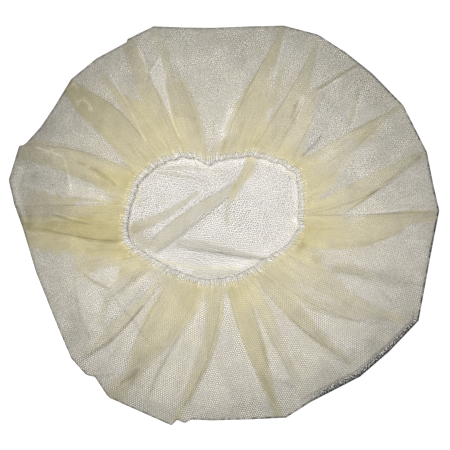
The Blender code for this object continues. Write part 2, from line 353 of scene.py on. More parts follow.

# The hem's rim: width in millimetres of its white edge, and the painted shade on its lip, painted
# light where the value is above 0
RimRow = namedtuple("RimRow", "turn width lip")
RIMS = rows_of(
    RimRow,
    (0, 0.5, 0.05), (30, 0.5, 0.02), (50, 1.3, -0.1), (74, 1.5, -0.25), (84, 0.4, -0.4),
    (100, 0.2, -0.35), (108, 1, -0.45), (150, 1.3, -0.45), (166, 1.5, -0.32), (178, 1.2, -0.45),
    (200, 2.3, -0.2), (240, 2.3, -0.05), (262, 1.8, -0.15), (290, 1.4, -0.2), (316, 1.9, -0.2),
    (340, 0.6, 0),
)

# Folds and creases in the flat cloth, each along a line of (x, y, width) in millimetres from the
# opening's middle. Side is the hand on which the fold's sharp edge lies, looking along the line,
# 0 for a crease; lift is in millimetres, and tone and shade add to the cloth's own. Shade is painted
# light, painted shade where it is below 0.
Fold = namedtuple("Fold", "line side lift tone shade")
CROWN_FOLDS = rows_of(
    Fold,
    (((35.4, 52, 11.6), (33, 46, 11), (29, 36, 9.8), (22.8, 27, 8.4), (17.4, 18, 6), (14.2, 12.6, 3)),
     1, 1, 0.48, -0.04),
    (((14.6, 16, 4), (11.8, 3, 3), (12.2, -11, 1.6)), 0, 0.4, 0.3, -0.1),
    (((21, 28, 4), (12.8, 21.2, 7.4), (2.5, 13, 11), (-12.2, 3.5, 13), (-26.3, -7.6, 14.5),
      (-41.5, -20, 14), (-49, -29, 10)), 1, 1.4, 0.3, -0.1),
    (((15.4, 18.8, 1.6), (0, 5.4, 2.4), (-15.7, -7, 3), (-31, -18, 4), (-46, -29, 3)),
     0, 0, 0.08, -0.18),
    (((-9, 22.5, 2), (-22, 13, 5), (-38, 3, 8), (-52, -3.5, 10), (-67, -9, 10.5)), -1, 0.8, 0.3, -0.08),
    (((-30, -19, 4), (-14, -21, 9), (2, -24.5, 8), (14, -27, 6.4), (28, -29.8, 5), (47, -32.8, 2)),
     1, 1.4, 0.2, -0.09),
    (((-32, -22.6, 1.6), (-9, -26.6, 2), (9, -29, 2.4), (26.5, -32, 2.6), (46, -33.6, 2)),
     0, -0.3, 0.05, -0.24),
    (((-50, -33, 2), (-39, -34.6, 2), (-25, -38, 2), (-9, -40.8, 2), (9, -41, 2), (25, -40.4, 2)),
     0, 0.5, 0.36, 0.12),
    (((-18, -44, 4), (0, -45, 6), (22, -43.5, 4)), 0, 0.2, 0.26, -0.08),
    (((-49, 38.7, 1.8), (-34.5, 40.3, 2.4), (-20, 40.6, 2.4), (-2, 38.8, 1.8), (19, 36.2, 1)),
     1, 0.5, 0.2, -0.08),
    (((-47, 37, 1.8), (-32, 35.2, 2.6), (-16, 32.3, 2.4), (-6, 29.9, 1.6), (3, 24.6, 1)),
     1, 0.5, 0.18, -0.06),
    (((14, -8, 2), (24, 0, 3.4), (30, 8, 2.4)), 0, 0.3, 0.06, -0.04),
    (((-63, 8, 14), (-58, 28, 14)), 0, 0, 0.13, 0),
    (((-4, -36, 8), (20, -38, 9), (36, -37, 5)), 0, 0, -0.04, 0.11),
    (((-68, -6, 12), (-60, -15, 17), (-50, -24, 12)), 0, 0.3, 0.26, -0.14),
)

# The same on the skirt, each along a line of (turn, radius, width)
SKIRT_FOLDS = rows_of(
    Fold,
    (((41.4, 157, 2.4), (33, 131, 2.8)), 0, 0, 0.22, -0.12),
    (((40.7, 159, 1.2), (31.9, 130, 1.3)), 0, 0.4, -0.1, 0.22),
    (((46.4, 170, 2.2), (50.9, 130, 3.2)), 0, -0.4, 0.24, -0.2),
    (((45.7, 170, 1.2), (50, 130, 1.3)), 0, 0.3, -0.1, 0.2),
    (((37, 112, 2), (35.6, 100, 2.4), (33.8, 84, 2)), 0, -0.3, 0.1, -0.24),
    (((53.4, 124, 2), (51.4, 112, 3.4), (49.4, 102, 2)), 0, 0.5, -0.1, 0.2),
    (((54.2, 118, 2), (51.8, 104, 2.4), (48.5, 86, 2)), 0, -0.3, 0.05, -0.18),
    (((68, 158, 2.4), (66.6, 128, 3), (64.6, 98, 2.4)), 1, 0.5, -0.1, 0.1),
    (((64.8, 134, 3), (63.2, 112, 6), (61, 98, 5)), 0, 0, 0.17, -0.04),
    (((79, 154, 3), (73.2, 136, 4)), 0, 0, 0.1, -0.04),
    (((83, 150, 16), (79.5, 116, 16)), 0, 0, 0, -0.09),
    (((79, 90, 8), (81.5, 62, 9)), 0, 0, -0.17, 0.17),
    (((336, 86, 10), (343.5, 97, 10)), 0, 0, 0.13, -0.12),
    (((336, 98, 6), (341.6, 132, 9), (342.6, 171, 12)), 0, -0.3, 0.04, -0.09),
    (((331, 160, 12), (322, 160, 12), (312, 156, 10)), 0, 0, 0, -0.09),
    (((356.5, 146, 10), (353.5, 160, 14)), 0, 0, 0, -0.09),
    (((245, 150, 9), (243.2, 130, 12), (245.5, 112, 9)), 0, -0.2, 0.04, -0.09),
    (((115.6, 155, 9), (119.6, 134, 11), (123.4, 114, 9)), 0, -0.3, 0.02, -0.08),
    (((166.5, 150, 12), (168, 132, 16), (166, 116, 10)), 0, -0.3, 0.02, -0.1),
    (((22.5, 160, 12), (19.5, 130, 10)), 0, -0.2, 0, -0.08),
    (((204.4, 134, 12), (204.8, 116, 12)), 0, 0.2, 0, 0.09),
    (((200.5, 118, 12), (202.5, 98, 14)), 0, 0, 0.2, 0),
    (((107.8, 136.5, 1.6), (113.8, 126.5, 1.6)), 0, -0.3, 0.12, -0.16),
    (((108.1, 134, 1.2), (113.3, 124.8, 1.2)), 0, 0.3, -0.1, 0.22),
    (((107.8, 137, 1.4), (108.5, 124, 1.5), (109.8, 108, 1.6), (112, 82, 1.6), (111.7, 66, 1.4)),
     0, 0.4, -0.08, 0.22),
    (((136.2, 158, 1.4), (135.8, 147, 1.5)), 0, 0.3, -0.12, 0.22),
    (((112.9, 153, 1.3), (114.1, 124, 1.4)), 0, 0.4, -0.06, 0.2),
    (((114.2, 122, 1.6), (114.3, 106, 1.6), (113.6, 88, 1.4)), 0, 0.3, -0.05, 0.12),
    (((123, 150, 2), (124, 132, 2)), 0, 0.3, -0.04, 0.08),
    (((125, 150, 1.2), (125.9, 130, 1.4), (127, 110, 1.8), (130, 86, 2.4), (132.4, 75, 2)),
     0, 0.6, -0.14, 0.17),
    (((140.8, 138, 1.4), (139.4, 141.6, 1.5), (137.3, 139.5, 1.6), (137.2, 135, 1.6), (138.1, 126, 1.4)),
     0, 0.4, -0.24, 0.24),
    (((158.2, 154, 1.5), (157.8, 140, 1.6), (157.6, 126, 1.5)), 0, 0.5, -0.14, 0.24),
    (((157.2, 118, 2.4), (157.8, 100, 3.4), (159.6, 88, 3.4), (162.4, 78, 2)), 0, -0.4, 0.12, -0.16),
    (((163, 112, 5), (162.6, 96, 7), (163.4, 79, 6)), 0, -0.3, 0.06, -0.11),
    (((209, 86, 9), (214, 80, 11), (222, 77, 11)), 0, 0, 0.04, -0.09),
    (((157.4, 127, 1.5), (160.5, 123.5, 1.5), (164, 118.7, 1.5), (169.8, 113, 1.3)), 0, 0.4, -0.1, 0.2),
    (((164, 158, 5), (170, 160, 6), (176, 155, 6), (182, 148, 4)), 0, 0, -0.06, 0.16),
    (((200.8, 130, 8), (211.9, 131, 12), (221, 145, 12)), -1, 0, 0.02, -0.06),
    (((172.2, 116, 3), (171.9, 100, 3), (171.6, 84, 2)), -1, 0, 0.12, -0.12),
    (((178.7, 129, 1.4), (181.4, 109.6, 1.6), (185.2, 80, 1.5)), 0, -0.4, 0.08, -0.18),
    (((178, 127, 1.1), (180.6, 109.6, 1.2), (184.2, 84, 1.1)), 0, 0.3, -0.06, 0.13),
    (((183.4, 150, 2.4), (184.6, 132, 2.4), (186.4, 118, 2.4), (187.4, 109, 2)), 0, -0.4, 0.05, -0.12),
    (((187, 110, 3), (190, 97, 5), (192.2, 86, 5), (193.6, 74, 3)), 1, -0.3, 0.05, -0.15),
    (((202, 118, 3), (209, 124, 4), (218, 132, 4), (225.6, 138, 3)), 1, 0.3, 0.06, -0.1),
    (((202.6, 113, 2), (209, 106.5, 2.4), (213.6, 100.5, 2.4), (217, 99, 2)), 0, -0.4, 0.16, -0.16),
    (((217, 98, 3), (220, 112, 5), (224.2, 126, 4)), 0, 0, 0.16, -0.08),
    (((217, 99, 1.8), (224, 102, 1.8), (233, 103, 2), (240, 109, 2), (246, 113, 1.8), (252, 110, 1.6)),
     0, -0.3, 0.1, -0.13),
    (((218.8, 98, 4), (218, 80, 6), (218.4, 66, 5)), 1, 0, 0.06, -0.12),
    (((226.2, 142, 1.8), (226.2, 122, 1.8)), 0, 0.3, -0.05, 0.12),
    (((226.8, 156, 2.4), (228.4, 144, 2.6), (230, 132, 3), (231.3, 118, 3), (231.9, 88, 2)),
     1, -0.3, 0.1, -0.22),
    (((233.4, 159, 1.8), (238.4, 147, 1.8)), 0, -0.3, 0, -0.18),
    (((240.6, 154, 3), (243.4, 140, 4), (246.2, 127, 2)), 1, -0.3, 0.06, -0.16),
    (((250.4, 154, 2.4), (250.9, 130, 2.6), (252.4, 112, 2.6), (254.6, 96, 2)), 1, -0.3, 0.08, -0.14),
    (((249.4, 106, 2), (251.6, 88, 3), (253.8, 70, 2)), 0, -0.3, 0.05, -0.1),
    (((261, 156, 3), (264.2, 137, 4), (267.4, 120, 4), (270.4, 106, 3)), 1, -0.3, 0.04, -0.1),
    (((287.5, 157, 2), (285.9, 136, 3.4), (284.2, 116, 3.4), (283, 96, 3), (282.2, 80, 2)),
     1, 0.6, 0, 0.04),
    (((288.6, 160, 3), (288.2, 142, 5), (287.2, 126, 4)), 0, -0.3, 0.05, -0.12),
    (((290.2, 128, 3), (291.4, 110, 4), (292.6, 96, 3)), 1, -0.3, 0.04, -0.12),
    (((296.6, 155, 2), (294.4, 145, 2.4), (290.2, 137.5, 2)), 0, -0.3, 0.04, -0.17),
    (((296.4, 143, 2), (296.4, 120, 2.4), (295.6, 98, 2)), 0, -0.3, 0.06, -0.09),
    (((312.8, 147, 3), (311, 132, 3), (309.2, 116, 3), (307.6, 98, 3)), -1, -0.3, 0.05, -0.1),
    (((326.6, 149, 3), (324, 138, 3), (321.4, 126, 3), (318.6, 112, 3), (315.8, 101, 3)),
     -1, -0.3, 0.06, -0.12),
    (((334.8, 161, 1.8), (336.6, 145, 1.8)), 0, -0.3, 0, -0.14),
    (((339, 137, 3), (338.2, 121, 3), (335.4, 102, 3)), 0, -0.3, 0.12, -0.1),
    (((336.5, 76, 6), (341, 75, 8), (346.5, 77, 5)), 0, 0, 0.08, -0.14),
    (((361.6, 176, 3), (361.4, 155, 3), (360.6, 120, 3)), 1, 0, 0.04, -0.05),
    (((2.2, 182, 1.2), (2.3, 150, 1.3), (1.2, 110, 1.4)), 0, 0.3, -0.05, 0.16),
    (((16.7, 176, 1.2), (10.8, 139, 1.5), (6.4, 121, 1.5), (1.2, 104, 1.2)), 0, -0.2, 0.12, -0.26),
    (((30.8, 174, 3), (31, 130, 4)), 1, 0, 0.04, -0.06),
)

# Patches of the skirt between two lines of (radius in millimetres, first turn, last turn), given
# from outside in. Fades are the widths, in millimetres, of the edges at the first and last turns
# and at the two ends; tone runs from its outer to its inner value, and shade adds painted light to
# the cloth's, painted shade where it is below 0.
Patch = namedtuple("Patch", "rows fades tone shade")
DOUBLED = rows_of(
    Patch,
    (((190, 359.6, 362.4), (160, 358.4, 362.2), (128, 350, 361), (100, 345, 361.4), (76, 343, 362)),
     (1.2, 1, 4), (.5, .62), 0),
    (((190, 16.6, 18), (160, 14, 17.2), (140, 10.2, 15.8), (112, 3.2, 13.6), (80, 0, 8.5)),
     (.8, 3, 4), (.44, .56), 0),
    (((190, 30, 31.2), (160, 29.6, 31.4), (140, 26.2, 31.4), (126, 25.4, 31.6)),
     (2.4, .8, 6), (.46, .56), -.02),
    (((128, 25.4, 31.8), (112, 20.5, 32.2), (100, 14, 32.4), (84, 9.5, 32.8)), (3, 1, 8), (.4, .46), 0),
    (((131, 49.6, 51.8), (120, 46.8, 53.2), (108, 42.6, 52.5), (96, 37.6, 50), (80, 34, 48)),
     (.8, 3, 2), (.46, .46), 0),
    (((166, 59, 60.2), (152, 57.2, 59.6), (138, 54.6, 58.8), (112, 51, 58.8), (84, 46, 60)),
     (2.4, .8, 4), (.42, .54), -.03),
    (((170, 68.8, 70.6), (146, 68.2, 70.6), (124, 66.8, 72.2), (100, 63.5, 76.4), (72, 58, 81.6)),
     (1.4, .8, 4), (.48, .6), -.02),
    (((156, 106.2, 108), (140, 104.8, 108.4), (114, 102.4, 109), (108, 100.6, 109.4)),
     (2, .8, 4), (.43, .43), 0),
    (((111, 100.4, 109.4), (98, 99.4, 110.2), (86, 97.2, 111.8), (70, 95.3, 113)),
     (1.2, .8, 1.5), (.54, .6), -.02),
    (((162, 113.4, 116.8), (140, 113.8, 118.4), (116, 113.8, 120.2), (104, 112.6, 121), (76, 112, 122)),
     (.8, 3, 4), (.43, .62), -.03),
    (((146, 126.8, 128.2), (124, 126.6, 129), (108, 121.5, 130), (88, 119, 130.5)),
     (3, 1.2, 4), (.5, .7), 0),
    (((164, 136, 140), (150, 135, 140.2), (132, 132.6, 142.2), (110, 130.4, 143.4), (80, 130, 147)),
     (2, 2, 4), (.7, .62), -.05),
    (((172, 158.6, 163.4), (152, 156, 162.8), (132, 154, 162.6), (100, 151.4, 164.2), (76, 150, 167)),
     (3, 3, 4), (.44, .68), -.02),
    (((150, 170.8, 179.5), (128, 171.5, 180), (108, 172.6, 180), (88, 173.4, 181)),
     (3, 2, 6), (.42, .72), -.04),
    (((166, 178.6, 186), (140, 179.4, 190.5), (116, 179, 194), (92, 179, 199), (70, 180, 209)),
     (3, 8, 4), (.62, .86), -.02),
    (((166, 179.6, 181.6), (140, 181.6, 184.2), (114, 181, 187), (100, 179.8, 190.5), (80, 183, 194)),
     (2.4, 3, 4), (.8, .98), 0),
    (((152, 226, 227.4), (128, 226, 230.4), (112, 226, 231.2), (94, 228, 233)),
     (1.6, .8, 6), (.38, .46), 0),
    (((170, 238.4, 245.2), (152, 238.6, 244.4), (140, 240.6, 245.6), (120, 238.8, 249), (100, 236.4, 254),
      (74, 235, 261)), (2.4, 2.4, 4), (.47, .56), -.02),
    (((166, 258.8, 261), (146, 260.2, 263.6), (120, 263.2, 268.2), (96, 265.8, 273), (72, 266, 278)),
     (2.4, .8, 4), (.44, .58), -.03),
    (((170, 287.6, 289.6), (148, 286.8, 289.8), (124, 285.4, 291.6), (92, 283.4, 294), (72, 282.8, 295)),
     (.8, 2.4, 4), (.52, .66), -.04),
    (((160, 296.2, 298), (120, 295.8, 299.2), (104, 295.2, 300.4), (88, 295, 303)),
     (1.6, 3, 6), (.34, .5), 0),
    (((162, 312.6, 314), (144, 311.6, 314.2), (118, 309, 314.4), (88, 306.8, 316)),
     (1, 2, 6), (.38, .56), -.02),
    (((176, 331, 333), (150, 327.6, 331.8), (128, 322.6, 331.6), (108, 318, 334.5), (86, 315, 338)),
     (.8, 3, 6), (.42, .48), -.02),
    (((138, 339.2, 340.6), (120, 338.6, 341.2), (104, 337, 342)), (2, 2, 6), (.36, .44), 0),
)
SINGLE = rows_of(
    Patch,
    (((190, 2.6, 16.2), (160, 2.4, 13.8), (140, 1.4, 10.2), (120, .9, 5.8), (103, .5, .9)),
     (.8, .8, 1), (.23, .3), .04),
    (((120, 15, 23), (112, 13.6, 20), (100, 12, 15), (86, 9, 10)), (3, 3, 8), (.28, .34), -.08),
    (((134, 31.8, 49.8), (120, 32.4, 46.6), (106, 32.8, 42), (93, 33.2, 37)),
     (1, .8, 3), (.23, .25), -.08),
    (((150, 59.9, 68), (130, 59, 66.6), (112, 59.4, 65.2), (98, 60.5, 63)), (.8, 2, 6), (.24, .42), .02),
    (((130, 72.6, 103.4), (110, 75, 99.8), (96, 77.8, 98), (80, 80.8, 95.6), (60, 82.5, 93)),
     (1, 2.4, 6), (.26, .3), .03),
    (((136, 107.6, 108.4), (126, 108.3, 113.3), (108, 109.9, 112.9), (96, 110.9, 112.4),
      (84, 111.7, 112.1)), (.6, .8, 1), (.2, .3), .09),
    (((140, 118.8, 125.4), (128, 120, 125.6), (114, 121, 124)), (4, 2, 8), (.28, .38), .02),
    (((150, 128.6, 133.6), (132, 129, 132), (120, 129.4, 131)), (1.4, 2, 6), (.3, .4), .02),
    (((150, 141.6, 154.2), (124, 143, 153), (106, 144.6, 151.4), (88, 147.4, 150)),
     (2.4, 2, 12), (.26, .38), .03),
    (((116, 165, 171.3), (104, 165.4, 171.5), (92, 167.4, 171.4), (81, 170, 171.2)),
     (7, .8, 4), (.3, .36), .09),
    (((110, 173.8, 175.4), (100, 172.3, 174.8), (83, 171.8, 172.7)), (1, .8, 2), (.33, .38), .06),
    (((138, 219, 226), (128, 209, 225.6), (117, 203, 222), (108, 201, 219)), (3, 3, 3), (.26, .28), .05),
    (((124, 214.6, 219), (112, 209, 218.4), (103, 211, 214)), (1.4, 1.4, 3), (.21, .22), .04),
    (((108, 204.4, 206), (99, 204.4, 214.6), (90, 205.6, 213.2), (84, 207.6, 209)),
     (1, 1, 2), (.27, .29), .08),
    (((112, 221, 225.6), (92, 219.8, 226), (80, 219.8, 225), (64, 220, 227)),
     (1.4, 4, 6), (.24, .34), .03),
    (((156, 228.4, 238), (144, 229.6, 240), (130, 231, 239.4), (108, 232, 237), (92, 233, 235.6),
      (70, 232.4, 235)), (.8, 2.4, 3), (.22, .34), .05),
    (((152, 245.8, 250), (136, 246.6, 250.2), (118, 248.2, 250)), (1.6, 1.4, 6), (.29, .34), .02),
    (((154, 250.8, 259), (126, 251.6, 262.2), (112, 253.2, 263.7), (100, 255.4, 265), (84, 260, 266.2),
      (68, 263.4, 265)), (1.4, 2, 4), (.31, .32), .08),
    (((150, 263.6, 286.6), (130, 266.8, 285.8), (118, 269, 285), (94, 273.8, 283.8), (66, 278.6, 281.6)),
     (.8, .8, 4), (.25, .28), .05),
    (((142, 290.4, 296.2), (128, 291.4, 296.2), (114, 292.6, 295.6), (98, 293.5, 295.3),
      (82, 294.2, 295.2)), (1.2, 1, 3), (.26, .36), .09),
    (((150, 298.6, 312), (134, 299, 310.6), (108, 300.6, 308.2), (96, 302.2, 307.4), (84, 303.8, 306)),
     (2, .8, 4), (.32, .31), .08),
    (((160, 314.4, 328), (140, 314.2, 325), (118, 314.6, 319.8), (102, 315.2, 316)),
     (1.6, .8, 3), (.25, .32), .05),
    (((118, 324.6, 325.8), (108, 322, 325), (96, 321, 324.2), (84, 320.8, 323.4)),
     (1.6, .8, 3), (.34, .4), .06),
    (((160, 332.6, 339), (136, 332, 338.4), (122, 332.8, 338), (108, 335.4, 337)),
     (1.4, 1.4, 3), (.2, .28), .04),
    (((174, 342.6, 357), (160, 342, 358), (146, 341.8, 354.6), (130, 342, 350.4), (117, 341.6, 347.6),
      (104, 341, 345.8), (88, 340.6, 343)), (2.4, .8, 4), (.22, .36), .07),
)

# The hem's tone, and spread, the distance in millimetres at which the cloth is half-way to it
HemRow = namedtuple("HemRow", "turn spread tone")
HEM_TONES = rows_of(
    HemRow,
    (0, 18, 0.74), (15, 18, 0.72), (30, 12, 0.74), (42, 12, 0.68), (50, 10, 0.6), (58, 20, 0.72),
    (70, 16, 0.64), (78, 12, 0.6), (86, 4, 0.5), (93, 4, 0.5), (100, 24, 0.62), (110, 24, 0.66),
    (118, 38, 0.7), (127, 38, 0.7), (135, 22, 0.68), (148, 10, 0.76), (157, 24, 0.88), (168, 12, 0.8),
    (176, 24, 0.86), (185, 40, 0.9), (196, 28, 0.84), (205, 28, 0.68), (213, 28, 0.68), (221, 8, 0.5),
    (231, 6, 0.46), (238, 30, 0.56), (248, 34, 0.68), (257, 24, 0.76), (264, 9, 0.66), (270, 14, 0.68),
    (279, 4, 0.5), (286, 26, 0.78), (297, 24, 0.64), (304, 18, 0.68), (312, 26, 0.62), (332, 24, 0.64),
    (342, 16, 0.85), (352, 26, 0.88),
)


def smooth(share):
    share = np.clip(share, 0.0, 1.0)
    return share * share * (3.0 - 2.0 * share)


def mix(one, other, share):
    return one * (1.0 - share) + other * share


def waves(x, y, wave):
    """Soft unevenness of about its height either way: sine waves that run every way."""
    random = np.random.default_rng(wave.seed)
    total = np.zeros(np.broadcast(x, y).shape)
    for _ in range(wave.count):
        heading = random.uniform(0.0, 2.0 * math.pi)
        pace = 2.0 * math.pi / wave.length * random.uniform(0.7, 1.4)
        along = x * math.cos(heading) + y * math.sin(heading)
        total += np.sin(pace * along + random.uniform(0.0, 2.0 * math.pi))
    return wave.height * (total * math.sqrt(2.0 / wave.count))


def facing_share(turn, facing, start, span):
    """A soft share, 1 where a turn faces this way, by the cosine of the angle between them."""
    return smooth((np.cos(np.radians(turn - facing)) - start) / span)


def stretch_share(turn, stretch):
    """A soft share, 1 on a stretch along the outer fold and 0 elsewhere."""
    first, coming, last, going = stretch
    turn = turn % 360.0
    return smooth((turn - first) / coming) * smooth((last - turn) / going)


def column(rows, name):
    return np.array([getattr(row, name) for row in rows])


def around(rows, turn):
    """Each turn counted on from the first row, and the four rows round it with their turns."""
    turns = column(rows, "turn")
    turn = turns[0] + (turn - turns[0]) % 360.0
    last = np.searchsorted(turns, turn, side="right") - 1
    laps, places = np.divmod(last[..., None] + np.arange(-1, 3), len(rows))
    return turn, turns[places] + 360.0 * laps, places


def straight_value(rows, turn, name):
    """The column's value on straight lines between the rows."""
    return np.interp(turn, column(rows, "turn"), column(rows, name), period=360.0)


def chord_reach(rows, turn):
    """Reach where the straight line between two rows' points crosses each turn."""
    turn, turns, places = around(rows, turn)
    reach = column(rows, "reach")[places]
    whole = np.sin(np.radians(turns[..., 2] - turns[..., 1]))
    first = np.sin(np.radians(turn - turns[..., 1]))
    second = np.sin(np.radians(turns[..., 2] - turn))
    low, high = reach[..., 1], reach[..., 2]
    return low * high * whole / (low * first + high * second)


def hermite(share, span, values, slopes):
    """A cubic piece from values and slopes at its two ends."""
    rest = 1.0 - share
    return (
        values[0] * (1.0 + 2.0 * share) * rest**2
        + values[1] * (3.0 - 2.0 * share) * share**2
        + slopes[0] * span * share * rest**2
        - slopes[1] * span * rest * share**2
    )


def round_value(rows, turn, name):
    """The column's value on a smooth closed curve through the rows."""
    turn, turns, places = around(rows, turn)
    values = column(rows, name)[places]
    span = turns[..., 2] - turns[..., 1]
    slopes = [
        (values[..., k + 1] - values[..., k - 1]) / (turns[..., k + 1] - turns[..., k - 1])
        for k in (1, 2)
    ]
    return hermite((turn - turns[..., 1]) / span, span, (values[..., 1], values[..., 2]), slopes)


def skirt_value(way, name):
    """The column's value on a smooth curve through the skirt's rows."""
    ways, values = column(SKIRT, "way"), column(SKIRT, name)
    slopes = np.gradient(values, ways)
    last = np.clip(np.searchsorted(ways, way, side="right") - 1, 0, len(ways) - 2)
    span = ways[last + 1] - ways[last]
    share = np.clip((way - ways[last]) / span, 0.0, 1.0)
    ends = (values[last], values[last + 1])
    return hermite(share, span, ends, (slopes[last], slopes[last + 1]))


def opening_radius(turn):
    angle = np.radians(turn)
    across = OPENING_WIDTH * np.cos(angle)
    along = OPENING_LENGTH * np.sin(angle)
    oval = 0.5 * OPENING_LENGTH * OPENING_WIDTH / np.hypot(across, along)
    return oval * round_value(OPENING, turn, "reach") + waves(*polar(turn, OPENING_MEAN), HEM_WOBBLE)


def hem_radius(turn):
    return opening_radius(turn) + ELASTIC_WIDTH + CLEARANCE


def hem_height(turn):
    return HEM_HEIGHT * round_value(OPENING, turn, "rise")


def fold_height(turn):
    return FOLD_HEIGHT * straight_value(OUTLINE, turn, "puff")


def fold_centre(turn):
    """Radius of the outer fold's middle line, where the skirt starts."""
    every_turn = np.arange(360.0)
    lying_radius = 0.5 * (0.5 * BLANK_DIAMETER + hem_radius(every_turn).mean())
    return lying_radius * chord_reach(OUTLINE, turn) - 0.5 * fold_height(turn)


def polar(turn, radius):
    angle = np.radians(turn)
    return radius * np.cos(angle), radius * np.sin(angle)


def opening_middle():
    """Where the opening's middle lies in the frame, from where the elastic's solid lies."""
    low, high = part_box("elastic_band")
    turns = np.arange(0.0, 360.0, 0.25)
    x, y = polar(turns, opening_radius(turns) + ELASTIC_WIDTH)
    across = 0.5 * (low.x + high.x) - 0.5 * (x.min() + x.max())
    along = 0.5 * (low.y + high.y) - 0.5 * (y.min() + y.max())
    return across, along


def hem_length_to(turn):
    """Length along the hem from turn 0, for turns past a whole lap too."""
    turns = np.arange(0.0, 361.0)
    x, y = polar(turns, hem_radius(turns))
    lengths = np.concatenate(([0.0], np.hypot(np.diff(x), np.diff(y)).cumsum()))
    laps, rest = np.divmod(turn, 360.0)
    return laps * lengths[-1] + np.interp(rest, turns, lengths)


HEM_LENGTH = float(hem_length_to(360.0))
CRIMPS = round(HEM_LENGTH / CRIMP_PITCH)


def hem_phase(turn, copies):
    """Phase of a pattern with this many copies round the hem."""
    return 2.0 * math.pi * copies * hem_length_to(turn) / HEM_LENGTH


# One end of a stretch of lines: its turn at the outer fold, what is added there so that a pleat's
# layers can start side by side, its turn at the hem and its bend
Side = namedtuple("Side", "fold spread hem bend")

# A line of the mesh from the outer fold to the hem: it runs between two sides, at one share while
# a pleat is open and another once folded. Loop is its place on a folded edge, top and middle its
# share of those layers' heights. Gap is 1 between pleats. Facing and away give the straight line on
# which its panel of cloth is folded: the turn it faces and its distance. The rises are those of
# pleats whose hidden edges lie at its low and high sides.
Line = namedtuple(
    "Line",
    "from_fold from_spread from_hem from_bend to_fold to_spread to_hem to_bend opened folded"
    " loop top middle gap start lift facing away low_lift low_start high_lift high_start",
)


def even(count):
    return 2 * math.ceil(0.5 * count)


def pleat_sides(pleat):
    """The pleat's hidden side, its crest side and the hand on which the crest lies."""
    towards = 1.0 if pleat.edge == "last" else -1.0
    sides = ((pleat.mid_first, pleat.hem_first), (pleat.mid_last, pleat.hem_last))
    hidden, crest = (
        Side(pleat.fold, spread, hem, mid - 0.5 * (pleat.fold + hem))
        for spread, (mid, hem) in zip((-towards * SPREAD_AT_FOLD, 0.0), sides[:: int(towards)])
    )
    return hidden, crest, towards


def panel_fold(pleat, following):
    """The straight line on which the panel between two pleats is folded."""
    turn = np.linspace(pleat.fold, following.fold, 17)
    x, y = polar(turn, fold_centre(turn))
    facing = math.atan2(x[0] - x[-1], y[-1] - y[0])
    away = float(np.mean(x * math.cos(facing) + y * math.sin(facing)))
    return math.degrees(facing), away


def pleat_lines(pleat, panels):
    """Lines over a pleat's top layer, round its crest, back underneath and forward again."""
    hidden, crest, towards = pleat_sides(pleat)
    width = float(hem_length_to(pleat.hem_last) - hem_length_to(pleat.hem_first))
    top_steps = even(width / HEM_STEP)
    bends = np.radians(np.linspace(0.0, 180.0, LOOP_STEPS + 1))[1:-1]
    steps = [(k / top_steps, 0.0, 1.0, 0.0) for k in range(top_steps + 1)]
    steps += [(1.0, math.sin(a), 0.5 + 0.5 * math.cos(a), 0.5 - 0.5 * math.cos(a)) for a in bends]
    steps += [(1.0 - k / MIDDLE_STEPS, 0.0, 0.0, 1.0) for k in range(MIDDLE_STEPS + 1)]
    steps += [(0.0, -math.sin(a), 0.0, 0.5 + 0.5 * math.cos(a)) for a in bends]
    steps += [(k / BOTTOM_STEPS, 0.0, 0.0, 0.0) for k in range(BOTTOM_STEPS + 1)]
    top_count = top_steps + LOOP_STEPS + MIDDLE_STEPS
    panels = panels if towards > 0 else panels[::-1]
    lines = [
        Line(
            *hidden, *crest, index / (len(steps) - 1), folded, loop * towards, top, middle, 0.0,
            pleat.start, pleat.lift, *panels[index > top_count], *([0.0] * 4),
        )
        for index, (folded, loop, top, middle) in enumerate(steps)
    ]
    return lines[:-1] if towards > 0 else lines[:0:-1]


def gap_lines(pleat, following, panel, count):
    """Lines over the panel of cloth between two pleats."""
    low, high = pleat_sides(pleat), pleat_sides(following)
    low_side = low[1] if low[2] > 0 else low[0]
    high_side = high[0] if high[2] > 0 else high[1]
    low_hidden = (0.0, 0.0) if low[2] > 0 else (pleat.lift, pleat.start)
    high_hidden = (following.lift, following.start) if high[2] > 0 else (0.0, 0.0)
    return [
        Line(
            *low_side, *high_side, k / count, k / count, 0.0, 0.0, 0.0, 1.0, 0.0, 0.0,
            *panel, *low_hidden, *high_hidden,
        )
        for k in range(count)
    ]


def skirt_lines():
    """All lines round the skirt, as one array for each of their values."""
    first = PLEATS[0]
    rows = (*PLEATS, PleatRow(*(turn + 360.0 for turn in first[:5]), *first[5:]))
    pairs = list(zip(rows, rows[1:]))
    panels = [panel_fold(pleat, following) for pleat, following in pairs]
    found = []
    for index, (pleat, following) in enumerate(pairs):
        found += pleat_lines(pleat, (panels[index - 1], panels[index]))
        at_hem = float(hem_length_to(following.hem_first) - hem_length_to(pleat.hem_last))
        count = even(max((following.fold - pleat.fold) / FOLD_STEP, at_hem / HEM_STEP))
        if following is rows[-1]:
            count += -(len(found) + count) % 16
        found += gap_lines(pleat, following, panels[index], count)
    return Line(*np.array(found).T)


def in_plane(fold):
    """The fold with its line's turns and radii as x and y."""
    turns, radii, widths = np.array(fold.line).T
    return fold._replace(line=tuple(zip(*polar(turns, radii), widths)))


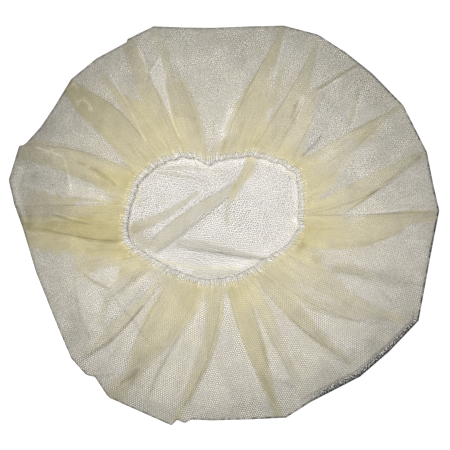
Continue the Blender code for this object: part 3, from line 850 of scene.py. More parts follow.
def patch_cover(turn, radius, patch, to_hem):
    """How much a patch covers each place, from 0 to 1."""
    radii, firsts, lasts = np.array(patch.rows[::-1], float).T
    first_fade, last_fade, end_fade = (fade * MM for fade in patch.fades)
    middle = 0.5 * (firsts.min() + lasts.max())
    turn = middle + (turn - middle + 180.0) % 360.0 - 180.0
    radii = radii * MM
    length = np.radians(1.0) * radius
    ragged = 0.5 + waves(*polar(turn, radius), PATCH_RAGGED)
    after = (turn - np.interp(radius, radii, firsts)) * length
    before = (np.interp(radius, radii, lasts) - turn) * length
    ends = smooth((radii[-1] - radius) / end_fade + ragged)
    if not to_hem:
        ends = ends * smooth((radius - radii[0]) / end_fade + ragged)
    return smooth(after / first_fade + ragged) * smooth(before / last_fade + ragged) * ends


def lay_patches(turn, radius, patches, tone, shade):
    """Tone and shade with the patches laid over them in turn; the doubled ones can reach the hem."""
    for patch in patches:
        outer, inner = patch.rows[0][0] * MM, patch.rows[-1][0] * MM
        cover = patch_cover(turn, radius, patch, patches is DOUBLED and inner < RUN_TO_HEM)
        own_tone = mix(*patch.tone, np.clip((outer - radius) / (outer - inner), 0.0, 1.0))
        tone = mix(tone, own_tone, cover)
        shade = shade + patch.shade * cover
    return tone, shade


def skirt_tones(turn, radius, along):
    """How yellow the skirt is at each place, and the painted light and shade on it; along is the
    length along the hem.
    """
    x, y = polar(turn, radius)
    uneven = waves(x, y, TONE_BROAD) + waves(x, y, TONE_FINE)
    tone, shade = lay_patches(turn, radius, DOUBLED, SKIRT_TONE, 0.0)
    streaks = waves(along, STREAK_LEAN * radius, HEM_STREAKS)
    ragged = waves(along, 0.0, HEM_RAGGED) + STREAK_EDGE * streaks
    spread = straight_value(HEM_TONES, turn, "spread") * MM
    hem_tone = straight_value(HEM_TONES, turn, "tone")

    def near_hem(reach):
        return smooth(1.0 - (radius + ragged - hem_radius(turn)) / reach)

    tone = mix(tone, np.maximum(tone, hem_tone), near_hem(2.0 * spread))
    tone, shade = lay_patches(turn, radius, SINGLE, tone, shade)
    tone = mix(tone, np.maximum(tone, hem_tone), near_hem(AT_HEM))
    inward = smooth(1.0 - (radius - hem_radius(turn)) / STREAK_REACH)
    # Painted shade, darker from OUTER_FROM out towards the outer fold
    shade = shade + OUTER_SHADE * smooth((radius - OUTER_FROM) / OUTER_OVER)
    return tone + uneven + STREAK_TONE * streaks * inward, shade + STREAK_SHADE * streaks * inward


def along_folds(x, y, folds):
    """What folds and creases add at each place: lift, tone and shade."""
    lift, tone, shade = (np.zeros(x.shape) for _ in range(3))
    for fold in folds:
        nearest = np.full(x.shape, np.inf)
        across, width, end = (np.zeros(x.shape) for _ in range(3))
        points = np.array(fold.line) * MM
        lengths = np.hypot(*np.diff(points[:, :2], axis=0).T)
        starts = np.concatenate(([0.0], lengths.cumsum()))
        for start, (one, other), length in zip(starts, zip(points, points[1:]), lengths):
            heading = (other[:2] - one[:2]) / length
            dx, dy = x - one[0], y - one[1]
            run = np.clip(dx * heading[0] + dy * heading[1], 0.0, length)
            away = np.hypot(dx - run * heading[0], dy - run * heading[1])
            closer = away < nearest
            nearest = np.where(closer, away, nearest)
            side = np.sign(dy * heading[0] - dx * heading[1])
            across = np.where(closer, side * away, across)
            width = np.where(closer, mix(one[2], other[2], run / length), width)
            end = np.where(closer, np.minimum(start + run, starts[-1] - start - run), end)
        place = across / width * (1.0 if fold.side == 0 else -fold.side)
        ends = smooth(end / CREASE_END)
        if fold.side == 0:
            shape = np.exp(-((2.0 * place) ** 2))
            inside = shape
        else:
            rim = np.clip(CREASE_EDGE / np.maximum(width, CREASE_EDGE), 0.05, 0.45)
            sharp = smooth((0.5 + rim - place) / (2.0 * rim))
            shape = np.clip(place + 0.5, 0.0, 1.0) * sharp
            inside = smooth((place + 0.55) / 0.45) * sharp
        lift += fold.lift * MM * shape * ends
        tone += fold.tone * inside * ends
        shade += fold.shade * inside * ends
    return lift, tone, shade


def skirt_relief(hem_turn, way, x, y):
    """Wrinkles that run out from the hem, and the cloth's own crumples."""
    along = hem_length_to(hem_turn)
    later = np.clip(way + waves(along, 0.0, GATHER_START), 0.0, 1.0)
    drift = waves(along, 0.0, PUCKER_DRIFT)
    puckers = np.abs(np.cos(0.25 * hem_phase(hem_turn, CRIMPS) + drift)) - 0.6
    narrow = waves(along, 0.02 * way, WRINKLE_NARROW)
    broad = waves(along, 0.03 * way, WRINKLE_BROAD)
    height = GATHER_HEIGHT * skirt_value(later, "gather") * puckers * smooth((1.0 - way) / 0.06)
    height += WRINKLE_HEIGHT * skirt_value(later, "wrinkle") * (narrow + 0.45 * broad)
    height += PANEL_WAVE_HEIGHT * smooth((way - 0.1) / 0.3) * smooth((0.95 - way) / 0.3) * np.abs(broad)
    crumple = np.abs(waves(x, y, CRUMPLE_BROAD)) + np.abs(waves(x, y, CRUMPLE_NARROW))
    height += CRUMPLE_HEIGHT * crumple * smooth(way / 0.1) + waves(x, y, CRUMPLE_FINE)
    return height


def mirror(x, y, lines):
    """Where each place lay in the flat cloth before its panel was folded over."""
    facing_x, facing_y = polar(lines.facing, 1.0)
    outward = x * facing_x + y * facing_y - lines.away
    return x - 2.0 * outward * facing_x, y - 2.0 * outward * facing_y


def skirt_grid(lines, ways):
    """Points, tones and weave places of the skirt, a row for each way."""
    way = ways[:, None]
    folding = smooth((way - lines.start) / PLEAT_GROWTH) * (1.0 - lines.gap)
    share = mix(lines.opened, lines.folded, folding)
    narrow = (1.0 - way) ** (SPREAD_POWER - 1.0)
    at_fold = mix(lines.from_fold, lines.to_fold, share)
    at_fold = at_fold + mix(lines.from_spread, lines.to_spread, share) * narrow
    at_hem = mix(lines.from_hem, lines.to_hem, share)
    swing = 4.0 * way * (1.0 - way) * mix(lines.from_bend, lines.to_bend, share)
    turn = mix(at_fold, at_hem, way) + swing
    radius = mix(fold_centre(at_fold), hem_radius(at_hem), way)

    def crest(lift, start):
        rise = np.clip((way - start) / PLEAT_RISE, 0.0, 1.0)
        return CREST_HEIGHT * skirt_value(way, "pleat") * lift * rise

    height = crest(lines.lift, lines.start)
    loop = np.minimum(LOOP_RADIUS, 0.2 * height)
    turn = turn + np.degrees(lines.loop * loop / radius) * folding
    top = height * (HIDDEN_HEIGHT + (1.0 - HIDDEN_HEIGHT) * lines.folded)
    middle = 2.0 * loop + (height - 4.0 * loop) * lines.folded
    layers = folding * (lines.top * top + lines.middle * middle)

    start_height = fold_height(at_fold)
    base = start_height + (hem_height(at_hem) - start_height) * skirt_value(way, "height")
    at_fold_gap, at_hem_gap = lines.to_fold - lines.from_fold, lines.to_hem - lines.from_hem
    gap_width = np.radians(np.abs(at_hem_gap * way + at_fold_gap * (1.0 - way))) * radius
    for rise, way_off in (
        (crest(lines.low_lift, lines.low_start), share),
        (crest(lines.high_lift, lines.high_start), 1.0 - share),
    ):
        layers += rise * HIDDEN_HEIGHT * (1.0 - smooth(way_off * gap_width / HIDDEN_RAMP))
    puff = lines.gap * 4.0 * share * (1.0 - share) * np.minimum(gap_width / PUFF_WIDTH, 1.0)
    layers += PANEL_PUFF * puff * skirt_value(way, "puff")

    x, y = polar(turn, radius)
    lift, fold_tone, fold_shade = along_folds(x, y, [in_plane(fold) for fold in SKIRT_FOLDS])
    z = base + layers + lift + skirt_relief(at_hem, way, x, y)

    tone, shade = skirt_tones(turn, radius, hem_length_to(at_hem))
    tone = tone + fold_tone
    # Painted light on the pleats' folded crests; painted shade towards the outer fold, more on the dim
    # stretch
    shade = shade + fold_shade + CREST_SHADE * np.abs(lines.loop) * (lines.top > 0) * folding
    outward = np.clip(1.0 - way / FOLD_SHADE_END, 0.0, 1.0)
    shade = shade + (FOLD_SHADE + DIM_SHADE * stretch_share(turn, DIM_STRETCH)) * outward
    shade = shade + waves(x, y, SHADE_UNEVEN)

    # The strip at the lower right: its painted dark speckle (edge), a painted dark border beside it and
    # painted light past that
    strip = stretch_share(turn, STRIP_STRETCH)
    border = smooth((way - 0.3 * STRIP_WIDTH) / BORDER_RISE) * smooth((BORDER_END - way) / BORDER_FALL)
    beside = strip * smooth((BESIDE_END - way) / BESIDE_FADE)
    shade = mix(shade, BESIDE_SHADE + BORDER_SHADE * border, beside)
    edge = strip * (1.0 - smooth((way - STRIP_WIDTH) / STRIP_FADE))
    return ring_values(x, y, z, tone, shade, edge, *mirror(x, y, lines))


def ring_values(*values):
    """A row of values for each point: of the cloth x, y, z, tone, painted shade, edge (how much
    painted dark speckle of shade it takes) and weave places.
    """
    return np.stack(np.broadcast_arrays(*values), axis=-1)


def fold_turns(lines):
    """The lines' turns at the outer fold."""
    turn = mix(lines.from_fold, lines.to_fold, lines.opened)
    return turn + mix(lines.from_spread, lines.to_spread, lines.opened)


def fold_grid(lines):
    """The outer fold, a half round from the flat crown's edge up to the skirt's edge."""
    tilt = np.radians(FOLD_ANGLES[1:-1])[:, None]
    turn = fold_turns(lines)
    half = 0.5 * fold_height(turn)
    radius = fold_centre(turn) + half * np.cos(tilt)
    x, y = polar(turn, radius)
    z = half * (1.0 + np.sin(tilt))
    tone, shade = skirt_tones(turn, radius, hem_length_to(turn))
    # Painted shade on the fold, more on the dim stretch; a painted dark line along the outline with painted
    # dark dashes on the right; and the strip at the lower right, painted dark low on the fold
    shade = shade + FOLD_SHADE + DIM_SHADE * stretch_share(turn, DIM_STRETCH)
    on_line = smooth((LINE_WIDTH - half * (1.0 - np.cos(tilt))) / LINE_FADE)
    on_outline = polar(turn, OUTLINE_MEAN)
    dark = LINE_DARK + LINE_DARKER * facing_share(turn, *LINE_FACING)
    dark = dark * np.clip(0.8 + waves(*on_outline, LINE_UNEVEN), 0.0, 1.0)
    strip = stretch_share(turn, STRIP_STRETCH) * (tilt > 0.0)
    edge = np.maximum(np.minimum(on_line * dark, 1.0), strip)
    dashes = np.clip(waves(*on_outline, LINE_DASHES), 0.0, 1.0) * on_line
    shade = shade - DASH_SHADE * dashes * facing_share(turn, *DASH_FACING)
    shade = mix(shade, STRIP_LIGHTER * smooth((tilt - 0.75) / 0.45) + STRIP_SHADE, strip)
    mirrored = mirror(x, y, lines)
    weave = (np.where(tilt > 0.0, there, here) for here, there in zip((x, y), mirrored))
    return ring_values(x, y, z, tone, shade, edge, *weave)


def crown_grid(turn, radius, inner):
    """Flat rings of the crown, with the folds that show through the opening."""
    x, y = polar(turn, radius)
    lift, tone, shade = along_folds(x, y, CROWN_FOLDS)
    crumple = np.abs(waves(x, y, CROWN_BROAD)) + 0.00012 * (1.0 + waves(x, y, CROWN_FINE))
    hidden = smooth((np.hypot(x, y) - HIDDEN_FROM) / HIDDEN_OVER)
    z = (lift + np.maximum(crumple, 0.0)) * (1.0 - hidden) * inner
    tone = CROWN_TONE + tone + waves(x, y, CROWN_TONES) + (SKIRT_TONE - CROWN_TONE) * hidden
    # Painted light on the crown beside the opening's rim, and a narrow painted light line along it
    to_rim = opening_radius(turn) - radius
    lit = smooth((turn % 360.0 - RIM_LIT_FROM) / RIM_LIT_OVER) + facing_share(turn, *RIM_FACING)
    shade = shade + RIM_SHADE * smooth(1.0 - to_rim / RIM_WIDTH) * lit * inner
    on_line = smooth(1.0 - np.abs(to_rim) / RIM_LINE_WIDTH) * inner
    right = facing_share(turn, *RIM_LINE_FACING)
    shade = shade + (RIM_LINE_SHADE + RIM_LINE_SHADE * right) * on_line
    return ring_values(x, y, z, tone, shade, 0.0, x, y)


def crown_rings(lines):
    """The crown from its middle out: even lines inside, which then run out to the fold's lines."""
    count = len(lines.opened) // 2
    even_turn = 360.0 * np.arange(count) / count
    fold_turn = fold_turns(lines)[::2]
    even_turn = even_turn + np.mean(fold_turn - even_turn)
    rings = []
    for radius in np.arange(2.0 * CROWN_STEP, CROWN_DISC, CROWN_STEP):
        thin = next((thin for end, thin in CROWN_THINNING if radius < end), 2)
        rings.append(crown_grid(even_turn[::thin], np.full(count // thin, radius), 1.0))
    for share in np.linspace(0.0, 1.0, CROWN_RINGS + 1)[:-1]:
        turn = mix(even_turn, fold_turn, smooth(share))
        rings.append(crown_grid(turn, mix(CROWN_DISC, fold_centre(turn), share), 1.0))
    rings.append(crown_grid(fold_turn, fold_centre(fold_turn), 0.0))
    return rings


def join_rings(faces, first, count, following, following_count):
    """Faces between two rings: the second has as many points as the first, or twice as many."""
    if count == following_count:
        for k in range(count):
            after = (k + 1) % count
            faces.append((first + k, first + after, following + after, following + k))
    elif following_count == 2 * count:
        for k in range(count):
            after = (k + 1) % count
            here, there, beyond = 2 * k, 2 * k + 1, (2 * k + 2) % following_count
            faces.append((first + k, following + there, following + here))
            faces.append((first + k, first + after, following + there))
            faces.append((first + after, following + beyond, following + there))
    else:
        raise ValueError("rings of {} and {} points".format(count, following_count))


def ring_faces(rings):
    """Faces between each two rings that follow each other."""
    faces = []
    start = 0
    for ring, following in zip(rings, rings[1:]):
        join_rings(faces, start, len(ring), start + len(ring), len(following))
        start += len(ring)
    return faces


def add_object(name, data):
    piece = bpy.data.objects.new(name, data)
    bpy.context.scene.collection.objects.link(piece)
    return piece


def mesh_piece(name, points, faces, material):
    mesh = bpy.data.meshes.new(name)
    mesh.from_pydata(points.tolist(), [], faces)
    mesh.materials.append(material)
    mesh.shade_smooth()
    return add_object(name, mesh)


def cloth_piece(name, values, faces, material):
    """A piece of the cloth from its points, with their tones, painted shade and dark speckle, and
    weave places.
    """
    piece = mesh_piece(name, values[:, :3], faces, material)
    for layer, kind, key, columns, last in (
        ("tone", "FLOAT_COLOR", "color", values[:, 3:6], 1.0),
        ("weave", "FLOAT_VECTOR", "vector", values[:, 6:8], 0.0),
    ):
        attribute = piece.data.attributes.new(layer, kind, "POINT")
        filled = np.pad(columns, ((0, 0), (0, 1)), constant_values=last)
        attribute.data.foreach_set(key, filled.astype(np.float32).ravel())
    return piece


def build_cloth(middle, material):
    lines = skirt_lines()
    coarse = Line(*(values[::2] for values in lines))
    ways = np.linspace(0.0, HEM_START, SKIRT_RINGS)
    hem_ways = HEM_START + (1.0 - HEM_START) * np.linspace(0.0, 1.0, HEM_RINGS + 1)[1:]
    rings = crown_rings(lines)
    rings += [*fold_grid(coarse), *skirt_grid(coarse, ways), *skirt_grid(lines, hem_ways)]
    faces = ring_faces(rings)
    first = len(rings[0])
    centre = sum(len(ring) for ring in rings)
    faces += [(centre, (k + 1) % first, k) for k in range(first)]
    values = np.concatenate([*rings, rings[0][:1] * 0.0])
    values[:, :2] += middle
    return cloth_piece("cloth", values, faces, material)


def build_elastic(middle):
    """The elastic, crimped where the relaxed hem is drawn in."""
    columns = CRIMPS * ELASTIC_STEPS
    turn = 360.0 * np.arange(columns) / columns
    crimp = np.cos(hem_phase(turn, CRIMPS))
    rings = []
    for across, up in ELASTIC_SECTION:
        inner = opening_radius(turn) + ELASTIC_SHIFT * (1.0 - across) * crimp
        x, y = polar(turn, inner + ELASTIC_WIDTH * across)
        arch = CRIMP_HEIGHT * crimp * (1.0 - (2.0 * across - 1.0) ** 4)
        z = hem_height(turn) - ELASTIC_DEPTH + 0.5 * ELASTIC_THICKNESS * up + arch
        rings.append(ring_values(x + middle[0], y + middle[1], z))
    faces = ring_faces(rings)
    join_rings(faces, columns * (len(rings) - 1), columns, 0, columns)
    faces = [face[::-1] for face in faces]
    return mesh_piece("elastic", np.concatenate(rings), faces, elastic_material())


def crimp_turns(place):
    """Turn of each place along the hem, counted in crimps."""
    turns = np.arange(0.0, 360.5, 0.5)
    return np.interp(place * HEM_LENGTH / CRIMPS, hem_length_to(turns), turns)


def edge_surface(place, out):
    """The crimped edge's height over the hem's, its tone and shade, at a distance out."""
    along = place * HEM_LENGTH / CRIMPS
    leaning = waves(along, 0.0, CRIMP_LEANING) + waves(along, 0.8 * out, CRIMP_TWIST)
    random = np.random.default_rng(41)
    sizes = random.uniform(*CRIMP_SIZES, CRIMPS)
    starts = random.uniform(0.0, 1.0, CRIMPS)
    number = np.floor(place + leaning + 0.5).astype(int) % CRIMPS
    ridge = np.abs(np.cos(math.pi * (place + leaning))) ** RIDGE_POWER * sizes[number]
    puckers = waves(along, 0.2 * out, PUCKER_BROAD) + waves(along, 0.6 * out, PUCKER_NARROW)
    rows = CRIMPED_EDGE[1:]
    up, crimp, pucker, own_tone = (
        np.interp(out, column(rows, "out") * MM, column(rows, name))
        for name in ("up", "crimp", "pucker", "tone")
    )
    turn = crimp_turns(place)
    rim = straight_value(RIMS, turn, "width") + RIM_JITTER * starts[number]
    outside = smooth((out - rim * MM) / RIM_FADE)
    beads = ridge * np.abs(np.sin(math.pi * (out / BEAD_LENGTH + 2.0 * starts[number])))
    beads = beads * outside * smooth((BEAD_END - out) / BEAD_FADE)
    up = up + crimp * (ridge - RIDGE_MEAN) + pucker * puckers + BEAD_HEIGHT * beads
    tone = mix(RIM_TONE, own_tone * straight_value(HEM_TONES, turn, "tone"), outside)
    tone = tone + RIM_RIDGE_TONE * (RIM_RIDGE_MEAN - ridge) * (1.0 - outside)
    tone = tone - RIDGE_TONE * (ridge - RIDGE_MEAN) * crimp * outside
    tone = tone - BEAD_LIGHT * beads + PUCKER_TONE * puckers
    # Painted light on ridges, puckers and beads; painted shade in the valleys and the rim's gaps
    valleys = np.minimum(ridge - RIDGE_MEAN, 0.0)
    shade = RIDGE_SHADE * (ridge - RIDGE_MEAN) + VALLEY_SHADE * valleys * crimp
    worn = waves(along, 1.3 * out, RIM_WORN)
    gaps = smooth((GAP_RIDGE - ridge + GAP_WORN * worn) / GAP_FADE) * (1.0 - outside)
    shade = shade + BEAD_LIGHT * beads - OUTSIDE_DIM * outside
    shade = shade + PUCKER_SHADE * outside * np.minimum(ridge + puckers, 1.0)
    shade = shade + (RIM_LIGHT + WORN_LIGHT * worn) * (1.0 - outside) - GAP_SHADE * gaps
    return up * MM, tone, shade


def build_crimped_edge(middle, material):
    """The cloth's edge, gathered and crimped over the elastic."""
    place = np.arange(CRIMPS * CRIMP_STEPS) / CRIMP_STEPS
    along = place * HEM_LENGTH / CRIMPS
    turn = crimp_turns(place)
    random = np.random.default_rng(45)
    reach = random.uniform(-EDGE_REACH, EDGE_REACH, CRIMPS)[np.floor(place + 0.5).astype(int) % CRIMPS]
    reach = reach * np.abs(np.cos(math.pi * place))
    lip_shade_depths = np.clip(0.8 + waves(along, 0.0, LIP_UNEVEN), 0.1, 1.4)
    longer = 1.0 + waves(along, 0.0, EDGE_LENGTHS)
    lip, beyond = CRIMPED_EDGE[0], CRIMPED_EDGE[-1].out
    outs = [lip.out, *np.arange(0.0, 8.4, EDGE_STEP), *np.linspace(9.0, beyond, 4)]
    rings = []
    for index, row_out in enumerate(outs):
        outside = smooth((row_out - 5.0) / 4.0)
        out = (row_out - reach * (1.0 - smooth(row_out / 2.5))) * mix(1.0, longer, outside) * MM
        x, y = polar(turn, opening_radius(turn) + out)
        up, tone, shade = edge_surface(place, np.maximum(out, 0.0))
        if index == 0:
            up = lip.up * MM + lip.crimp * up
            # Painted shade on the lip, a dark line round the upper left of the opening; painted light where
            # the rim's lip value is above 0
            shade = shade + straight_value(RIMS, turn, "lip") * lip_shade_depths
        z = hem_height(turn) + up
        rings.append(ring_values(x + middle[0], y + middle[1], z, tone, shade, 0.0, x, y))
    faces = [face[::-1] for face in ring_faces(rings)]
    return cloth_piece("crimped_edge", np.concatenate(rings), faces, material)


def build_stitches(middle):
    """Overlock thread over the elastic: out across it and back, once for each crimp."""
    count = CRIMPS * len(STITCH_OUTS)
    place = (np.arange(count) + 0.5) / len(STITCH_OUTS)
    turns = crimp_turns(place)
    share = np.clip((straight_value(RIMS, turns, "width") + RIM_JITTER) / STITCH_OUTS[0], 0.4, 1.0)
    out = np.tile(STITCH_OUTS, CRIMPS) * MM * share
    up = edge_surface(place, np.maximum(out, 0.0))[0]
    x, y = polar(turns, opening_radius(turns) + out)
    z = hem_height(turns) + up + THREAD_RADIUS
    curve = bpy.data.curves.new("overlock_thread", "CURVE")
    curve.dimensions = "3D"
    curve.bevel_depth = THREAD_RADIUS
    curve.bevel_resolution = 1
    spline = curve.splines.new("POLY")
    spline.points.add(count - 1)
    points = ring_values(x + middle[0], y + middle[1], z, 1.0)
    spline.points.foreach_set("co", points.astype(np.float32).ravel())
    spline.use_cyclic_u = True
    curve.materials.append(thread_material())
    return add_object("overlock_thread", curve)


class Shader:
    """A material's node tree, with short calls that add a node and wire its inputs."""

    def __init__(self, name):
        self.material = bpy.data.materials.new(name)
        self.material.use_nodes = True
        self.tree = self.material.node_tree
        self.tree.nodes.clear()

    def node(self, kind, inputs, **settings):
        node = self.tree.nodes.new(kind)
        for name, value in settings.items():
            setattr(node, name, value)
        for key, value in inputs.items():
            if isinstance(value, bpy.types.NodeSocket):
                self.tree.links.new(value, node.inputs[key])
            else:
                node.inputs[key].default_value = value
        return node

    def add(self, kind, inputs, output=0, **settings):
        return self.node(kind, inputs, **settings).outputs[output]

    def parts(self, kind, value):
        """The three parts of a colour or a vector."""
        return self.node(kind, {0: value}).outputs

    def math(self, operation, first, second=0.0):
        return self.add("ShaderNodeMath", {0: first, 1: second}, operation=operation)

    def product(self, *values):
        return reduce(lambda one, other: self.math("MULTIPLY", one, other), values)

    def total(self, *values):
        return reduce(lambda one, other: self.math("ADD", one, other), values)

    def vector(self, operation, *values):
        return self.add("ShaderNodeVectorMath", dict(enumerate(values)), operation=operation)

    def measure(self, operation, *values):
        """One number from vectors, such as a distance."""
        return self.add("ShaderNodeVectorMath", dict(enumerate(values)), output=1, operation=operation)

    def scale(self, vector, factor):
        return self.add("ShaderNodeVectorMath", {0: vector, "Scale": factor}, operation="SCALE")

    def remap(self, value, low, high, to_low, to_high):
        inputs = {"Value": value, "From Min": low, "From Max": high, "To Min": to_low, "To Max": to_high}
        return self.add("ShaderNodeMapRange", inputs, interpolation_type="SMOOTHSTEP")

    def fade(self, place, direction, low, high, to_low, to_high):
        """A value that changes with how far a place lies in a direction from the middle."""
        return self.remap(self.measure("DOT_PRODUCT", place, direction), low, high, to_low, to_high)

    def noise(self, vector, scale, detail=2.0):
        return self.add("ShaderNodeTexNoise", {"Vector": vector, "Scale": scale, "Detail": detail})

    def ramp(self, value, stops):
        node = self.node("ShaderNodeValToRGB", {0: value})
        elements = node.color_ramp.elements
        while len(elements) < len(stops):
            elements.new(0.5)
        for element, (place, colour) in zip(elements, stops):
            element.position = place
            element.color = (*colour, 1.0)
        return node.outputs[0]

    def finish(self, surface):
        self.node("ShaderNodeOutputMaterial", {"Surface": surface})
        return self.material


def linear(red, green, blue):
    """Linear colour from display values of 0 to 255."""
    return tuple((value / 255.0) ** 2.2 for value in (red, green, blue))


# The cloth's colours by tone, from a single layer to a pleat of many; then the dark speckle of
# painted shade along the outline and in the strip at the lower right
CLOTH_COLOURS = (
    (0.04, linear(224, 220, 215)),
    (0.27, linear(214, 209, 196)),
    (0.50, linear(211, 204, 178)),
    (0.75, linear(215, 205, 165)),
    (0.95, linear(201, 189, 141)),
)
SHADE_SPECKLE_COLOURS = (
    (0.38, linear(36, 36, 36)),
    (0.52, linear(86, 84, 82)),
    (0.66, linear(200, 200, 196)),
)

# The dots: their pitch, rows to a pitch, size in pitches, and how unevenly they lie
DOT_PITCH = 0.0018
DOT_ROWS = 1.155
DOT_RADIUS = 0.30
DOT_SOFTNESS = 0.22
DOT_TURN = math.radians(8.0)
DOT_DEPTH = 0.85
DOT_WARP = 0.0007

# Where the dots are stronger or fainter: a direction, two distances that way, and the values
# there. The skirt's light dots grow stronger towards the lower side as painted sheen.
DOTS_LOWER = ((0.26, -0.97, 0.0), 0.02, 0.11, 0.0, 1.0)
DOTS_LEFT = ((-1.0, 0.2, 0.0), 0.07, 0.15, 1.0, 0.5)
DOTS_RIGHT = ((0.9, -0.43, 0.0), 0.105, 0.135, 1.0, 0.55)

# The crown's dots, strongest near this place; and the heights between which the crown ends
CROWN_DOTS_MIDDLE = (0.008, -0.012, 0.0)
CROWN_DOTS_FADE = (0.008, 0.045, 2.0, 0.95)
CROWN_TOP = (0.004, 0.006)

# Crumpled facets, and streaks that run out from the middle: their sizes, and how much painted
# light and shade they and the lines between them add
FACET_LENGTH = 0.026
FACET_LIGHT = 0.022
FACET_LINE_LIGHT = 0.07
STREAK_TURN = 0.085
STREAK_LENGTH = 0.070
STREAK_LIGHT = 0.025
STREAK_LINE_LIGHT = 0.04
CLOTH_LIGHT = 0.975
PATCHY_MEAN = 0.7
PATCHY_LIGHT = 0.05


def centred(shader, vector, amount):
    """A noise colour as an offset of about this much either way."""
    return shader.scale(shader.vector("SUBTRACT", vector, (0.5, 0.5, 0.5)), 2.0 * amount)


def noise_offset(shader, vector, scale, amount):
    colour = shader.add("ShaderNodeTexNoise", {"Vector": vector, "Scale": scale}, output=1)
    return shader.vector("ADD", vector, centred(shader, colour, amount))


def facet_pattern(shader, vector):
    """Flat facets of the crumpled cloth, from -1 to 1, and the lines between them, from 0 to 1."""
    inputs = {"Vector": vector, "Scale": 1.0}
    cell = shader.parts("ShaderNodeSeparateColor", shader.add("ShaderNodeTexVoronoi", inputs, output=1))[0]
    away = shader.add("ShaderNodeTexVoronoi", inputs, feature="DISTANCE_TO_EDGE")
    return shader.remap(cell, 0.0, 1.0, -1.0, 1.0), shader.remap(away, 0.0, 0.035, 1.0, 0.0)


def dot_pattern(shader, weave, warp):
    """The bonding dots of the cloth in staggered rows, 1 in a dot; warp is how uneven they lie."""
    turned = shader.add("ShaderNodeMapping", {"Vector": weave, "Rotation": (0.0, 0.0, DOT_TURN)})
    colour = shader.add("ShaderNodeTexNoise", {"Vector": turned, "Scale": 400.0, "Detail": 0.0}, output=1)
    moved = shader.vector("ADD", turned, shader.scale(centred(shader, colour, 1.0), warp))
    lattice = shader.vector("MULTIPLY", moved, (1.0 / DOT_PITCH, DOT_ROWS / DOT_PITCH, 0.0))
    x, y, _ = shader.parts("ShaderNodeSeparateXYZ", lattice)
    row = shader.math("FLOOR", y)
    along = shader.math("FRACT", shader.total(x, shader.product(row, 0.5)))
    across = shader.math("SUBTRACT", shader.math("SUBTRACT", y, row), 0.5)
    inputs = {0: shader.math("SUBTRACT", along, 0.5), 1: shader.product(across, 0.866)}
    away = shader.measure("LENGTH", shader.add("ShaderNodeCombineXYZ", inputs))
    return shader.remap(away, DOT_RADIUS - DOT_SOFTNESS, DOT_RADIUS + DOT_SOFTNESS, 1.0, 0.0)


def dot_strength(shader, place, tone, thin, lower, patchy):
    """Strength of the dots: below 0 on the crown, where they are darker than the cloth, above 0
    on the skirt."""
    height = shader.parts("ShaderNodeSeparateXYZ", place)[2]
    upper = shader.remap(height, *CROWN_TOP, 0.0, 1.0)
    away = shader.measure("DISTANCE", place, CROWN_DOTS_MIDDLE)
    by_tone = shader.remap(tone, 0.14, 0.34, -1.0, -0.25)
    crown = shader.product(by_tone, shader.remap(away, *CROWN_DOTS_FADE))
    sides = (shader.fade(place, *DOTS_LEFT), shader.fade(place, *DOTS_RIGHT))
    skirt = shader.product(shader.total(shader.product(lower, 0.65), 1.0), thin, *sides)
    signed = shader.total(shader.product(shader.math("SUBTRACT", skirt, crown), upper), crown)
    return shader.product(shader.math("MAXIMUM", patchy, shader.math("SUBTRACT", 1.0, upper)), signed)


def streak_pattern(shader, place):
    """Facets drawn out into streaks that run out from the middle, and the lines between them."""
    x, y, _ = shader.parts("ShaderNodeSeparateXYZ", place)
    angle = shader.math("ARCTAN2", y, x)
    radius = shader.measure("LENGTH", place)
    inputs = {0: shader.math("DIVIDE", angle, STREAK_TURN), 1: shader.math("DIVIDE", radius, STREAK_LENGTH)}
    drawn_out = shader.add("ShaderNodeCombineXYZ", inputs)
    return facet_pattern(shader, noise_offset(shader, drawn_out, 0.8, 0.35))


